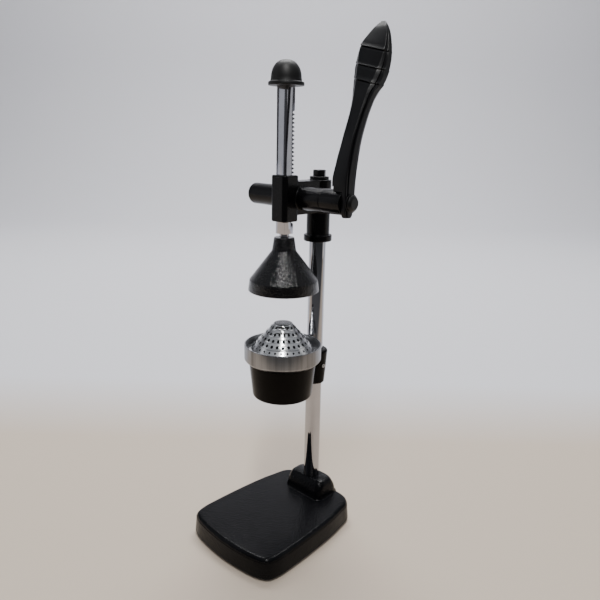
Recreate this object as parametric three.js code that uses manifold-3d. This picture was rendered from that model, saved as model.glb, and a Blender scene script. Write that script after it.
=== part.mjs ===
// A hand lever press for citrus halves: a rack driven by a pinion pushes a hollow
// press cone down onto a perforated cone, which stands in a pan over a bowl.
// Millimetres, +Z up, -Y towards the user, +X towards the lever.
// The origin is where the press axis meets the flat top of the base.
import * as THREE from 'three';
import { mergeVertices } from 'three/addons/utils/BufferGeometryUtils.js';
import Module from 'manifold-3d';

const wasm = await Module();
wasm.setup();

// Shared clearances
const gap = 0.3;
const overrun = 1;
const weld_tolerance = 0.0001;

// Counts
const fine_sides = 36;
const fit_sides = 32;
const mid_sides = 24;
const small_sides = 14;
const sheet_sides = 26;
const hex_sides = 6;
const hole_sides = 4;
const corner_steps = 3;
const outline_points = 60;

// Column
const column_radius = 9;
const column_wall = 1.5;
const column_y = 51.5;
const column_foot_rise = 4.3;
const column_fit = 0.15;
const plug_length = 16;

// Base
const base_half_width = 64;
const base_front = 89;
const base_rear = 72.5;
const base_height = 22;
const base_plate = 5;
const base_skirt_wall = 4.5;
const base_draft = 2;
const base_shoulder = 5;
const base_boss_radius = 9;
const base_column_boss_radius = 17;
const base_column_boss_stand = 8;

// Socket block on the base, round the foot of the column
const socket_height = 19.5;
const socket_half_width = 28;
const socket_front_y = 34;
const socket_rear_y = 69.5;
const socket_corner = 9;

// Feet
const foot_radius = 8;
const foot_height = 4;
const foot_stand = 3;
const foot_screw_radius = 2;
const foot_screw_head_radius = 3.6;
const foot_screw_head = 1.8;
const foot_screw_length = 8;
const foot_front_side_inset = 18;
const foot_rear_side_inset = 26;
const foot_front_inset = 21;
const foot_rear_inset = 18.5;

// Clamping bolts at the two ends of the column
const clamp_radius = 4;
const clamp_hole_radius = 4.4;
const clamp_head_radius = 7;
const clamp_head = 5.3;
const clamp_top_head = 6.4;
const clamp_reach = 12;
const washer_radius = 10.2;
const washer = 1.6;
const top_washer = 3.2;

// Rack and pinion
const tooth_module = 1.25;
const pinion_teeth = 18;
const pinion_width = 10;
const pressure_angle = THREE.MathUtils.degToRad(20);
const backlash = 0.16;
const dedendum_share = 1.25;
const pinion_pitch_radius = tooth_module * pinion_teeth / 2;
const tooth_pitch = Math.PI * tooth_module;
const flank_points = 4;

// Ram
const ram_side = 12.5;
const ram_chamfer = 0.6;
const ram_shoulder_z = 315.5;
const ram_top_z = 470;
const ram_spaces_above = 21;
const ram_spaces_below = 6;
const stud_radius = 4;
const ram_collar_radius = 5;

// Head
const pinion_z = 351;
const guide_half = 10.5;
const guide_corner = 4.3;
const guide_height = 46;
const guide_edge = 1.2;
const bore_clearance = 0.3;
const web_height = 33.4;
const web_half_width = 9.2;
const web_edge = 1.6;
const head_column_radius = 13;
const head_top_wall = 5.2;
const head_sleeve_radius = 12.4;
const head_sleeve_drop = 41.3;
const head_collar_radius = 15.2;
const head_collar = 6.8;
const collar_edge = 1;
const tube_radius = 11.7;
const tube_end_radius = 11.2;
const tube_left_x = -62;
const tube_right_x = 40.4;
const tube_edge = 3;
const tube_end_wall = 7;

// Pinion shaft and its bushes
const shaft_radius = 6;
const bush_wall = 1.8;
const bush_length = 20;
const bush_play = 0.08;
const shaft_square = 8;
const key_side = 3.4;
const key_sink = 1.8;

// Lever
const hub_radius = 12;
const arm_width = 17.6;
const arm_plate = 5;
const arm_right_x = 71.8;
const arm_length = 166;
const arm_notch = 3.4;
const arm_neck_inset = 2.4;
const arm_step = 1.1;
const arm_step_slope = 0.24;
const lever_washer_radius = 9;
const lever_washer = 0.8;
const lever_cap_radius = 7.8;
const lever_cap = 3.2;
const lever_cap_edge = 2.2;
const lever_screw_radius = 2.2;
const lever_screw_reach = 16;

// Ram cap
const cap_flange_radius = 17.5;
const cap_dome_radius = 14.8;
const cap_bottom_z = 457.6;
const cap_height = 23.6;
const cap_flange = 4.2;

// Press cone
const cone_rim_radius = 37;
const cone_lip_radius = 35.8;
const cone_neck_radius = 12.6;
const cone_neck_top_radius = 10.8;
const cone_rim_z = 256.3;
const cone_lip = 11.2;
const cone_flank = 30.5;
const cone_neck = 13.9;
const cone_wall = 3.4;
const cone_roof = 15.6;
const cone_washer_radius = 8;
const cone_washer = 1.4;
const nut_radius = 7.4;
const nut_height = 4.8;
const nut_stand = 1;

// Bowl and its clamp on the column
const bowl_bottom_radius = 32.2;
const bowl_top_radius = 36.2;
const bowl_bottom_z = 139.5;
const bowl_height = 38;
const bowl_wall = 3;
const bowl_floor = 4;
const bowl_spout_radius = 8;
const bowl_edge = 2;
const holder_top_radius = 15;
const holder_bottom_radius = 11.8;
const holder_height = 39.8;
const holder_edge = 2;
const holder_rib_half_width = 9;
const holder_rib_height = 26;
const set_screw_radius = 2;
const set_screw_drop = 18;
const set_screw_proud = 0.8;

// Pan
const pan_radius = 41.2;
const pan_height = 19.6;
const pan_wall = 1.5;
const pan_floor = 1.6;
const pan_corner = 3.6;
const pan_hole_radius = 31.3;
const pan_lip = 3;
const pan_lip_wall = 1.2;
const pan_ledge_depth = 7;
const pan_ledge_width = 3.7;
const pan_bead = 0.9;

// Strainer
const strainer_sheet = 1;
const strainer_crown_radius = 10;
const strainer_crown = 0.8;
const strainer_slope_radius = 28.6;
const strainer_slope_drop = 21.2;
const strainer_step = 1.2;
const strainer_skirt_radius = 33.8;
const strainer_skirt_drop = 5.7;
const strainer_flange_radius = 39.2;
const strainer_hole_radius = 1.75;
// rows of holes on the slope: how many in each, and how far down it
const strainer_row_counts = [18, 22, 25, 28];
const strainer_row_shares = [0.15, 0.41, 0.66, 0.89];
const skirt_row_count = 30;
const skirt_row_share = 0.3;

const pinion_y = ram_side / 2 - tooth_module + pinion_pitch_radius;
const base_seat_z = base_column_boss_stand - base_height;
const column_foot_z = base_seat_z + column_foot_rise;

// Materials
function finish(color, roughness, metalness) {
  return new THREE.MeshStandardMaterial({ color, roughness, metalness });
}
const cast_black = finish(0x17171a, 0.42, 0.25);
const moulded_black = finish(0x1a1a1c, 0.6, 0);
const rubber_black = finish(0x101010, 0.9, 0);
const chrome = finish(0xd8dadd, 0.08, 1);
const plated_steel = finish(0xb4b4b8, 0.28, 1);
const zinc_steel = finish(0x8f9296, 0.4, 1);
const black_steel = finish(0x1c1c1e, 0.45, 0.7);
const spun_aluminium = finish(0xb9bcbf, 0.25, 1);
const bronze = finish(0x9c7440, 0.4, 1);

// Geometry helpers
function solid(geometry) {
  for (const name of ['normal', 'uv']) geometry.deleteAttribute(name);
  const merged = mergeVertices(geometry, weld_tolerance);
  const at = merged.attributes.position;
  const source = merged.index.array;
  const a = new THREE.Vector3();
  const b = new THREE.Vector3();
  const c = new THREE.Vector3();
  const kept = [];
  let volume = 0;
  for (let i = 0; i < source.length; i += 3) {
    const [p, q, r] = [source[i], source[i + 1], source[i + 2]];
    if (p === q || q === r || r === p) continue;
    kept.push([p, q, r]);
    volume += a.fromBufferAttribute(at, p)
      .dot(b.fromBufferAttribute(at, q).cross(c.fromBufferAttribute(at, r)));
  }
  const faces = kept.map(([p, q, r]) => (volume > 0 ? [p, q, r] : [p, r, q])).flat();
  return new wasm.Manifold(new wasm.Mesh({
    numProp: 3,
    vertProperties: new Float32Array(at.array),
    triVerts: new Uint32Array(faces),
  }));
}

function geometryOf(body) {
  const mesh = body.getMesh();
  const geometry = new THREE.BufferGeometry();
  geometry.setAttribute('position', new THREE.BufferAttribute(new Float32Array(mesh.vertProperties), 3));
  geometry.setIndex(new THREE.BufferAttribute(new Uint32Array(mesh.triVerts), 1));
  geometry.computeVertexNormals();
  return geometry;
}

// An upright round bar between two heights
function rod(radius, low, high, sides = mid_sides, x = 0, y = 0) {
  const geometry = new THREE.CylinderGeometry(radius, radius, high - low, sides);
  geometry.rotateX(Math.PI / 2);
  geometry.translate(x, y, (low + high) / 2);
  return solid(geometry);
}

// A round bar along X between two places, round the pinion's axis
function cross_rod(radius, low, high, sides = mid_sides) {
  const geometry = new THREE.CylinderGeometry(radius, radius, high - low, sides);
  geometry.rotateZ(Math.PI / 2);
  geometry.translate((low + high) / 2, pinion_y, pinion_z);
  return solid(geometry);
}

// A turned piece: points are [radius, height] round the Z axis
function turned(points, sides = fine_sides, x = 0, y = 0) {
  const geometry = new THREE.LatheGeometry(points.map(([r, z]) => new THREE.Vector2(r, z)), sides);
  geometry.rotateX(Math.PI / 2);
  geometry.translate(x, y, 0);
  return solid(geometry);
}

// A turned piece whose axis is the pinion's, with points as [radius, x]
function cross_turned(points, sides = mid_sides) {
  const geometry = new THREE.LatheGeometry(points.map(([r, x]) => new THREE.Vector2(r, x)), sides);
  geometry.rotateZ(-Math.PI / 2);
  geometry.translate(0, pinion_y, pinion_z);
  return solid(geometry);
}

function block(x0, x1, y0, y1, z0, z1) {
  const geometry = new THREE.BoxGeometry(x1 - x0, y1 - y0, z1 - z0);
  geometry.translate((x0 + x1) / 2, (y0 + y1) / 2, (z0 + z1) / 2);
  return solid(geometry);
}

// A flat outline in X and Y, raised between two heights
function upright(shape, low, high) {
  const geometry = new THREE.ExtrudeGeometry(shape, {
    depth: high - low, bevelEnabled: false, curveSegments: corner_steps,
  });
  geometry.translate(0, 0, low);
  return solid(geometry);
}

function hexagon(radius, x = 0, y = 0) {
  const shape = new THREE.Shape();
  for (let i = 0; i < hex_sides; i += 1) {
    const turn = i * 2 * Math.PI / hex_sides;
    const corner = [x + radius * Math.cos(turn), y + radius * Math.sin(turn)];
    if (i === 0) shape.moveTo(...corner);
    else shape.lineTo(...corner);
  }
  shape.closePath();
  return shape;
}

// Closed rings of points, one above the other, joined into a solid with flat ends
function loft(rings) {
  const count = rings[0].length;
  const points = rings.flat();
  const faces = [];
  for (let k = 0; k < rings.length - 1; k += 1) {
    for (let i = 0; i < count; i += 1) {
      const j = (i + 1) % count;
      const [a, b] = [k * count + i, k * count + j];
      faces.push(a, b, b + count, a, b + count, a + count);
    }
  }
  for (const [k, flip] of [[0, true], [rings.length - 1, false]]) {
    const hub = points.length;
    points.push(rings[k].reduce((s, p) => s.add(p), new THREE.Vector3()).divideScalar(count));
    for (let i = 0; i < count; i += 1) {
      const [a, b] = [k * count + i, k * count + (i + 1) % count];
      faces.push(...(flip ? [hub, b, a] : [hub, a, b]));
    }
  }
  const geometry = new THREE.BufferGeometry().setFromPoints(points);
  geometry.setIndex(faces);
  return solid(geometry);
}

// A rounded rectangle as a ring of points at one height
function rounded_ring(x0, x1, y0, y1, corner, z) {
  const ring = [];
  const centres = [[x1 - corner, y1 - corner], [x0 + corner, y1 - corner],
    [x0 + corner, y0 + corner], [x1 - corner, y0 + corner]];
  centres.forEach(([cx, cy], quarter) => {
    for (let i = 0; i <= corner_steps; i += 1) {
      const turn = (quarter + i / corner_steps) * Math.PI / 2;
      ring.push(new THREE.Vector3(cx + corner * Math.cos(turn), cy + corner * Math.sin(turn), z));
    }
  });
  return ring;
}

function union(first, ...others) {
  return others.reduce((sum, other) => sum.add(other), first);
}

function cut(first, ...others) {
  return others.reduce((rest, other) => rest.subtract(other), first);
}

const press = new THREE.Group();

function place(name, body, material, parent = press) {
  const mesh = new THREE.Mesh(geometryOf(body), material);
  mesh.name = name;
  parent.add(mesh);
}

// Base: half of the outline, as shares of the half width and of the front or rear reach
const base_outline_shares = [
  [0, -1], [0.4, -0.983], [0.75, -0.938], [0.93, -0.868], [0.992, -0.735], [1, -0.5],
  [0.985, -0.15], [0.945, 0.28], [0.89, 0.58], [0.82, 0.82], [0.66, 0.95], [0.3, 0.99], [0, 1],
];

function base_ring(inset, z) {
  const half = base_outline_shares.map(([sx, sy]) => new THREE.Vector3(
    sx * base_half_width, sy * (sy < 0 ? base_front : base_rear), 0));
  const mirrored = half.slice(1, -1).reverse().map((p) => new THREE.Vector3(-p.x, p.y, 0));
  const curve = new THREE.CatmullRomCurve3([...half, ...mirrored], true, 'centripetal');
  const ring = [];
  for (let i = 0; i < outline_points; i += 1) {
    const share = i / outline_points;
    const at = curve.getPointAt(share);
    const along = curve.getTangentAt(share);
    ring.push(new THREE.Vector3(at.x - along.y * inset, at.y + along.x * inset, z));
  }
  return ring;
}

function base_casting() {
  // how far in and how far down the rounded shoulder has come, as shares
  const shoulder_shares = [[0, 1], [0.12, 0.6], [0.42, 0.22], [1, 0]];
  const outside = loft([
    base_ring(0, -base_height),
    ...shoulder_shares.map(([si, sd]) => base_ring(base_draft + si * base_shoulder, -sd * base_shoulder)),
  ]);
  const inside = loft([
    base_ring(base_skirt_wall, -base_height - overrun),
    base_ring(base_skirt_wall + base_draft, -base_plate - base_draft),
    base_ring(base_skirt_wall + base_draft + base_shoulder, -base_plate),
  ]);
  const feet = foot_places().map(([x, y]) => rod(
    base_boss_radius, -base_height + foot_height - foot_stand, -base_plate + overrun, small_sides, x, y));
  const column_boss = rod(base_column_boss_radius, base_seat_z, -base_plate + overrun,
    mid_sides, 0, column_y);
  // the socket block leans in on every side, as [share of height, in at the sides, front, rear]
  const socket_shares = [[-0.06, 0, 0, 0], [0.4, 0.03, 0.04, 0.04], [0.65, 0.06, 0.09, 0.1],
    [0.85, 0.11, 0.15, 0.155], [0.95, 0.17, 0.195, 0.19], [1, 0.25, 0.235, 0.215]];
  const depth = socket_rear_y - socket_front_y;
  const socket = loft(socket_shares.map(([sz, sx, sf, sr]) => {
    const half = socket_half_width * (1 - sx);
    return rounded_ring(-half, half, socket_front_y + sf * depth, socket_rear_y - sr * depth,
      socket_corner * (1 - sx), sz * socket_height);
  }));
  const bore = rod(column_radius + column_fit, column_foot_z - gap, socket_height + overrun,
    fine_sides, 0, column_y);
  const bolt_hole = rod(clamp_hole_radius, -base_height, socket_height, small_sides, 0, column_y);
  const screw_holes = foot_places().map(([x, y]) => rod(
    foot_screw_radius + column_fit, -base_height - overrun, -base_height + foot_height + foot_screw_length,
    small_sides, x, y));
  return cut(union(outside.subtract(inside), ...feet, column_boss, socket), bore, bolt_hole, ...screw_holes);
}

function foot_places() {
  const front_x = base_half_width - foot_front_side_inset;
  const rear_x = base_half_width - foot_rear_side_inset;
  const front_y = foot_front_inset - base_front;
  const rear_y = base_rear - foot_rear_inset;
  return [[-front_x, front_y], [front_x, front_y], [rear_x, rear_y], [-rear_x, rear_y]];
}

const foot_top_z = -base_height + foot_height - foot_stand - gap;
const foot_names = ['front_left', 'front_right', 'rear_right', 'rear_left'];

function foot(x, y) {
  const low = foot_top_z - foot_height;
  const outside = turned([[0, low], [foot_radius * 0.92, low], [foot_radius, low + foot_height / 4],
    [foot_radius, foot_top_z], [0, foot_top_z]], small_sides, x, y);
  const recess = rod(foot_screw_head_radius + gap, low - overrun, low + foot_height / 2, small_sides, x, y);
  const hole = rod(foot_screw_radius + gap, low, foot_top_z + overrun, small_sides, x, y);
  return cut(outside, recess, hole);
}

function foot_screw(x, y) {
  const seat = foot_top_z - foot_height / 2 - gap;
  const head = rod(foot_screw_head_radius, seat - foot_screw_head + gap, seat, small_sides, x, y);
  const shank = rod(foot_screw_radius, seat - gap, seat + foot_screw_length, small_sides, x, y);
  return head.add(shank);
}

// Column: the tube and the threaded plugs pressed into its ends
const head_top_z = pinion_z + web_height / 2;
const column_top_z = head_top_z - head_top_wall - gap;

function column_tube() {
  const tube = rod(column_radius, column_foot_z, column_top_z, fine_sides, 0, column_y);
  return tube.subtract(rod(column_radius - column_wall, column_foot_z - overrun, column_top_z + overrun,
    fine_sides, 0, column_y));
}

function column_plug(low) {
  const plug = rod(column_radius - column_wall - gap, low, low + plug_length, mid_sides, 0, column_y);
  return plug.subtract(rod(clamp_radius + gap, low - overrun, low + plug_length + overrun,
    small_sides, 0, column_y));
}

function base_washer() {
  const high = base_seat_z - gap;
  return rod(washer_radius, high - washer, high, mid_sides, 0, column_y)
    .subtract(rod(clamp_hole_radius, high - washer - overrun, high + overrun, small_sides, 0, column_y));
}

function base_bolt() {
  const seat = base_seat_z - washer - 2 * gap;
  const head = upright(hexagon(clamp_head_radius, 0, column_y), seat - clamp_head, seat);
  return head.add(rod(clamp_radius, seat - gap, column_foot_z + clamp_reach, small_sides, 0, column_y));
}

function head_washer() {
  const low = head_top_z + gap;
  return rod(washer_radius, low, low + top_washer, mid_sides, 0, column_y)
    .subtract(rod(clamp_hole_radius, low - overrun, low + top_washer + overrun, small_sides, 0, column_y));
}

function head_bolt() {
  const seat = head_top_z + top_washer + 2 * gap;
  const head = upright(hexagon(clamp_head_radius, 0, column_y), seat, seat + clamp_top_head);
  return head.add(rod(clamp_radius, column_top_z - clamp_reach, seat + gap, small_sides, 0, column_y));
}

// Head: the ram guide, the cross tube, the web that holds the pinion and the column socket
function web_outline(inset) {
  const shape = new THREE.Shape();
  const half = web_half_width - inset;
  const end = head_column_radius - inset;
  const turn = Math.asin(half / end);
  shape.moveTo(-half, 0);
  shape.lineTo(half, 0);
  shape.absarc(0, column_y, end, -Math.PI / 2 + turn, 3 * Math.PI / 2 - turn, false);
  shape.closePath();
  return shape;
}

function head_casting() {
  const guide_low = pinion_z - guide_height / 2;
  const guide_high = pinion_z + guide_height / 2;
  const guide_ring = (inset, z) => rounded_ring(-guide_half + inset, guide_half - inset,
    -guide_half + inset, guide_half - inset, guide_corner - inset / 2, z);
  const guide = loft([guide_ring(guide_edge, guide_low), guide_ring(0, guide_low + guide_edge),
    guide_ring(0, guide_high - guide_edge), guide_ring(guide_edge, guide_high)]);
  const tube = cross_turned([[0, tube_left_x], [tube_end_radius - tube_edge, tube_left_x],
    [tube_end_radius - tube_edge * 0.3, tube_left_x + tube_edge * 0.3],
    [tube_end_radius, tube_left_x + tube_edge], [tube_radius, -guide_half],
    [tube_radius, tube_right_x], [0, tube_right_x]], fine_sides);
  const web_low = pinion_z - web_height / 2;
  const web = union(
    upright(web_outline(0), web_low + web_edge, head_top_z - web_edge),
    upright(web_outline(web_edge), web_low, head_top_z));
  const sleeve_low = pinion_z - head_sleeve_drop;
  const sleeve = rod(head_sleeve_radius, sleeve_low - overrun, pinion_z, fine_sides, 0, column_y);
  const collar_low = sleeve_low - head_collar;
  const collar = turned([[0, collar_low], [head_collar_radius - collar_edge, collar_low],
    [head_collar_radius, collar_low + collar_edge], [head_collar_radius, sleeve_low - collar_edge],
    [head_collar_radius - collar_edge, sleeve_low], [0, sleeve_low]], fine_sides, 0, column_y);
  const ram_hole = ram_side / 2 + bore_clearance;
  const ram_bore = block(-ram_hole, ram_hole, -ram_hole, ram_hole, guide_low - overrun, guide_high + overrun);
  const pocket_radius = pinion_pitch_radius + tooth_module + 2 * bore_clearance;
  const pocket_half = pinion_width / 2 + bore_clearance;
  const pocket = cross_rod(pocket_radius, -pocket_half, pocket_half, fine_sides);
  const slot = block(-pocket_half, pocket_half, pinion_y - pocket_radius, pinion_y + pocket_radius,
    guide_low - overrun, pinion_z);
  const shaft_bore = cross_rod(shaft_radius + bush_wall + bush_play, tube_left_x + tube_end_wall,
    tube_right_x + overrun, fit_sides);
  const column_bore = rod(column_radius + column_fit, collar_low - overrun, column_top_z + gap,
    fine_sides, 0, column_y);
  const bolt_hole = rod(clamp_hole_radius, collar_low, head_top_z + overrun, small_sides, 0, column_y);
  return cut(union(guide, tube, web, sleeve, collar), ram_bore, pocket, slot, shaft_bore,
    column_bore, bolt_hole);
}

function bush(left) {
  const outer = cross_rod(shaft_radius + bush_wall, left, left + bush_length, fit_sides);
  return outer.subtract(cross_rod(shaft_radius + bush_play, left - overrun,
    left + bush_length + overrun, fit_sides));
}

// Pinion, drawn round the origin and then stood on the shaft's axis
function pinion_outline() {
  const base_radius = pinion_pitch_radius * Math.cos(pressure_angle);
  const tip_radius = pinion_pitch_radius + tooth_module;
  const root_radius = pinion_pitch_radius - tooth_module * dedendum_share;
  const involute = (radius) => {
    const roll = Math.sqrt(Math.max((radius / base_radius) ** 2 - 1, 0));
    return roll - Math.atan(roll);
  };
  const half_tooth = (tooth_pitch / 2 - backlash) / 2 / pinion_pitch_radius;
  const start = Math.max(base_radius, root_radius);
  const points = [];
  for (let tooth = 0; tooth < pinion_teeth; tooth += 1) {
    const middle = Math.PI + tooth * 2 * Math.PI / pinion_teeth;
    const side = [];
    for (let i = 0; i < flank_points; i += 1) {
      const radius = start + (tip_radius - start) * i / (flank_points - 1);
      side.push([radius, half_tooth + involute(pinion_pitch_radius) - involute(radius)]);
    }
    const flank = [[root_radius, side[0][1]], ...side];
    for (const [radius, away] of flank) points.push([radius, middle - away]);
    for (const [radius, away] of flank.reverse()) points.push([radius, middle + away]);
  }
  return points.map(([radius, turn]) => new THREE.Vector2(radius * Math.cos(turn), radius * Math.sin(turn)));
}

// A flat outline whose first axis is Y and second is Z, run along X round the pinion's axis
function across(shape, low, high) {
  const geometry = new THREE.ExtrudeGeometry(shape, {
    depth: high - low, bevelEnabled: false, curveSegments: corner_steps,
  });
  geometry.rotateX(Math.PI / 2);
  geometry.rotateZ(Math.PI / 2);
  geometry.translate(low, pinion_y, pinion_z);
  return solid(geometry);
}

const key_half = key_side / 2;
const key_low = shaft_radius - key_sink;

function pinion_gear() {
  const gear = across(new THREE.Shape(pinion_outline()), -pinion_width / 2, pinion_width / 2);
  const bore = cross_rod(shaft_radius + bush_play, -pinion_width, pinion_width, fit_sides);
  const keyway = block(-pinion_width, pinion_width, pinion_y - key_half - gap / 2,
    pinion_y + key_half + gap / 2, pinion_z, pinion_z + key_low + key_side + gap);
  return cut(gear, bore, keyway);
}

function pinion_key() {
  const half = pinion_width / 2 - gap;
  return block(-half, half, pinion_y - key_half, pinion_y + key_half,
    pinion_z + key_low + gap / 2, pinion_z + key_low + key_side);
}

const shaft_left_x = tube_left_x + tube_end_wall + gap;
const plate_left_x = arm_right_x - arm_plate;
const arm_centre_x = arm_right_x - arm_width / 2;

function pinion_shaft() {
  const half = shaft_square / 2;
  const round = cross_rod(shaft_radius, shaft_left_x, tube_right_x, fit_sides);
  const square = block(tube_right_x - overrun, arm_right_x - gap, pinion_y - half, pinion_y + half,
    pinion_z - half, pinion_z + half);
  const seat = pinion_width / 2;
  const keyway = block(-seat, seat, pinion_y - key_half - gap / 2, pinion_y + key_half + gap / 2,
    pinion_z + key_low, pinion_z + shaft_radius + overrun);
  const tapped = cross_rod(lever_screw_radius + gap, arm_right_x - lever_screw_reach - gap,
    arm_right_x + overrun, small_sides);
  return cut(round.add(square), keyway, tapped);
}

// A square hole for the end of the shaft
function square_hole(low, high) {
  const half = shaft_square / 2 + gap / 2;
  return block(low, high, pinion_y - half, pinion_y + half, pinion_z - half, pinion_z + half);
}

const hub_left_x = tube_right_x + gap;
const hub_right_x = plate_left_x - 2 * gap;

function lever_hub() {
  const hub = cross_rod(hub_radius, hub_left_x, hub_right_x, fine_sides);
  return hub.subtract(square_hole(hub_left_x - overrun, hub_right_x + overrun));
}

// Lever arm, from tail to tip: share of the length up from the pivot, front and rear
// of the section as shares of the length from the pivot, half widths of the front face,
// of the body and of the rear face as shares of the arm's width
const arm_section_shares = [
  [-0.082, -0.035, 0.02, 0.46, 0.5, 0.44],
  [-0.07, -0.045, 0.03, 0.48, 0.5, 0.46],
  [-0.045, -0.05, 0.035, 0.49, 0.5, 0.47],
  [0.05, -0.05, 0.045, 0.49, 0.5, 0.47],
  [0.12, -0.05, 0.05, 0.49, 0.5, 0.47],
  [0.23, -0.03, 0.07, 0.4, 0.49, 0.43],
  [0.35, 0.005, 0.1, 0.32, 0.48, 0.39],
  [0.46, 0.05, 0.14, 0.33, 0.5, 0.4],
  [0.56, 0.09, 0.185, 0.36, 0.59, 0.46],
  [0.62, 0.11, 0.225, 0.42, 0.73, 0.54],
  [0.67, 0.13, 0.25, 0.5, 0.85, 0.6],
  [0.75, 0.16, 0.275, 0.65, 0.98, 0.63],
  [0.8, 0.178, 0.285, 0.73, 0.98, 0.61],
  [0.85, 0.197, 0.293, 0.77, 0.92, 0.55],
  [0.92, 0.234, 0.3, 0.64, 0.68, 0.4],
  [0.965, 0.26, 0.303, 0.4, 0.43, 0.25],
  [0.985, 0.275, 0.3, 0.24, 0.27, 0.16],
  [1, 0.287, 0.298, 0.1, 0.12, 0.07],
];
// the sections at which the front steps forward into the next finger rest
const arm_step_shares = [0.67, 0.75, 0.85];
// where the edges between the faces lie across the depth of a section
const arm_edge_shares = [0.24, 0.62, 0.9];

function arm_ring([up, front, rear, wide_front, wide, wide_rear], forward = 0, slope = 0) {
  const [front_edge, belly_edge, rear_edge] = arm_edge_shares;
  const right = [[wide_front, 0], [wide, front_edge], [wide, belly_edge], [wide_rear, rear_edge],
    [wide_rear * belly_edge, 1]];
  const left = [...right].reverse().map(([x, share]) => [-x, share]);
  return [...right, ...left].map(([x, share]) => new THREE.Vector3(
    arm_centre_x + x * arm_width,
    pinion_y + (front + (rear - front) * share) * arm_length - forward * (1 - share),
    pinion_z + up * arm_length - x * arm_width * slope + forward));
}

// A plain section, or where the front steps forward, one below the step and one above it
function arm_rings(section) {
  if (!arm_step_shares.includes(section[0])) return [arm_ring(section)];
  return [-arm_step / 2, arm_step / 2].map((forward) => arm_ring(section, forward, arm_step_slope));
}

function lever_arm() {
  const reach = arm_length;
  const notch_high = pinion_z + hub_radius + arm_notch;
  const notch = block(arm_centre_x - reach, plate_left_x, pinion_y - reach, pinion_y + reach,
    pinion_z - reach, notch_high);
  // a neck under the arm stands on the hub, set back from the arm's faces
  const neck_share = 0.62;
  const neck_reach = hub_radius * neck_share;
  const neck = block(arm_centre_x - arm_width / 2 + arm_neck_inset / 2, plate_left_x + gap,
    pinion_y - neck_reach + arm_neck_inset / 2, pinion_y + neck_reach,
    pinion_z + hub_radius * neck_share, notch_high + gap);
  const hub_room = cross_rod(hub_radius + gap, arm_centre_x - reach, plate_left_x, fine_sides);
  return cut(cut(loft(arm_section_shares.flatMap(arm_rings)), notch).add(neck), hub_room,
    square_hole(plate_left_x - overrun, arm_right_x + overrun));
}

function lever_washer_ring() {
  const left = arm_right_x + gap;
  return cross_rod(lever_washer_radius, left, left + lever_washer, mid_sides)
    .subtract(cross_rod(lever_screw_radius + gap, left - overrun, left + lever_washer + overrun,
      small_sides));
}

function lever_bolt() {
  const seat = arm_right_x + lever_washer + 2 * gap;
  const high = seat + lever_cap;
  const head = cross_turned([[0, seat], [lever_cap_radius, seat], [lever_cap_radius, high - lever_cap_edge],
    [lever_cap_radius - lever_cap_edge / 3, high - lever_cap_edge / 3],
    [lever_cap_radius - lever_cap_edge, high], [0, high]]);
  const shank = cross_rod(lever_screw_radius, arm_right_x - lever_screw_reach, seat + gap, small_sides);
  return head.add(shank);
}

// Ram: a square bar with a rack in its rear face and a stud at its foot
function ram_rack() {
  const half = ram_side / 2;
  const low = ram_shoulder_z;
  const high = ram_top_z;
  const bar_ring = (inset, z) => {
    const side = half - inset;
    const corner = side - ram_chamfer;
    return [[side, -corner], [side, corner], [corner, side], [-corner, side], [-side, corner],
      [-side, -corner], [-corner, -side], [corner, -side]].map(([x, y]) => new THREE.Vector3(x, y, z));
  };
  const bar = loft([bar_ring(ram_chamfer, low), bar_ring(0, low + ram_chamfer),
    bar_ring(0, high - ram_chamfer), bar_ring(ram_chamfer, high)]);
  const pitch_y = pinion_y - pinion_pitch_radius;
  const lean = Math.tan(pressure_angle);
  const mouth = tooth_pitch / 4 + backlash / 4 + lean * (half + overrun - pitch_y);
  const floor = tooth_pitch / 4 + backlash / 4 - lean * tooth_module * dedendum_share;
  const floor_y = pitch_y - tooth_module * dedendum_share;
  const spaces = [];
  for (let i = -ram_spaces_below; i <= ram_spaces_above; i += 1) {
    const z = pinion_z + i * tooth_pitch;
    const corners = [[half + overrun, z - mouth], [half + overrun, z + mouth],
      [floor_y, z + floor], [floor_y, z - floor]];
    const shape = new THREE.Shape(corners.map(([y, up]) => new THREE.Vector2(y - pinion_y, up - pinion_z)));
    spaces.push(across(shape, -ram_side, ram_side));
  }
  const stud_low = cone_top_z - cone_roof - cone_washer - nut_height - nut_stand;
  const stud = rod(stud_radius, stud_low, low + overrun, small_sides);
  const collar = rod(ram_collar_radius, cone_top_z + gap, low + ram_chamfer, mid_sides);
  return union(cut(bar, ...spaces), collar, stud);
}

const cap_socket_high = ram_top_z + gap;

function ram_cap() {
  const low = cap_bottom_z;
  const dome_base = low + cap_flange * 1.6;
  const dome_height = cap_height - cap_flange * 1.6;
  const profile = [[0, low], [cap_flange_radius - cap_flange / 4, low],
    [cap_flange_radius, low + cap_flange / 4], [cap_flange_radius, low + cap_flange * 0.6],
    [cap_flange_radius - cap_flange / 4, low + cap_flange * 0.9],
    [cap_dome_radius + cap_flange / 8, low + cap_flange], [cap_dome_radius, dome_base]];
  const steps = 6;
  for (let i = 1; i <= steps; i += 1) {
    const rise = Math.sin(i / steps * Math.PI / 2);
    const radius = i === steps ? 0 : cap_dome_radius * Math.cos(i / steps * Math.PI / 2) ** 0.8;
    profile.push([radius, dome_base + dome_height * rise]);
  }
  const hole = ram_side / 2 + gap;
  return turned(profile, mid_sides).subtract(block(-hole, hole, -hole, hole, low - overrun, cap_socket_high));
}

// Press cone: a hollow funnel on the ram's stud, held by a nut inside
const cone_lip_z = cone_rim_z + cone_lip;
const cone_neck_z = cone_lip_z + cone_flank;
const cone_top_z = cone_neck_z + cone_neck;

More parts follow.
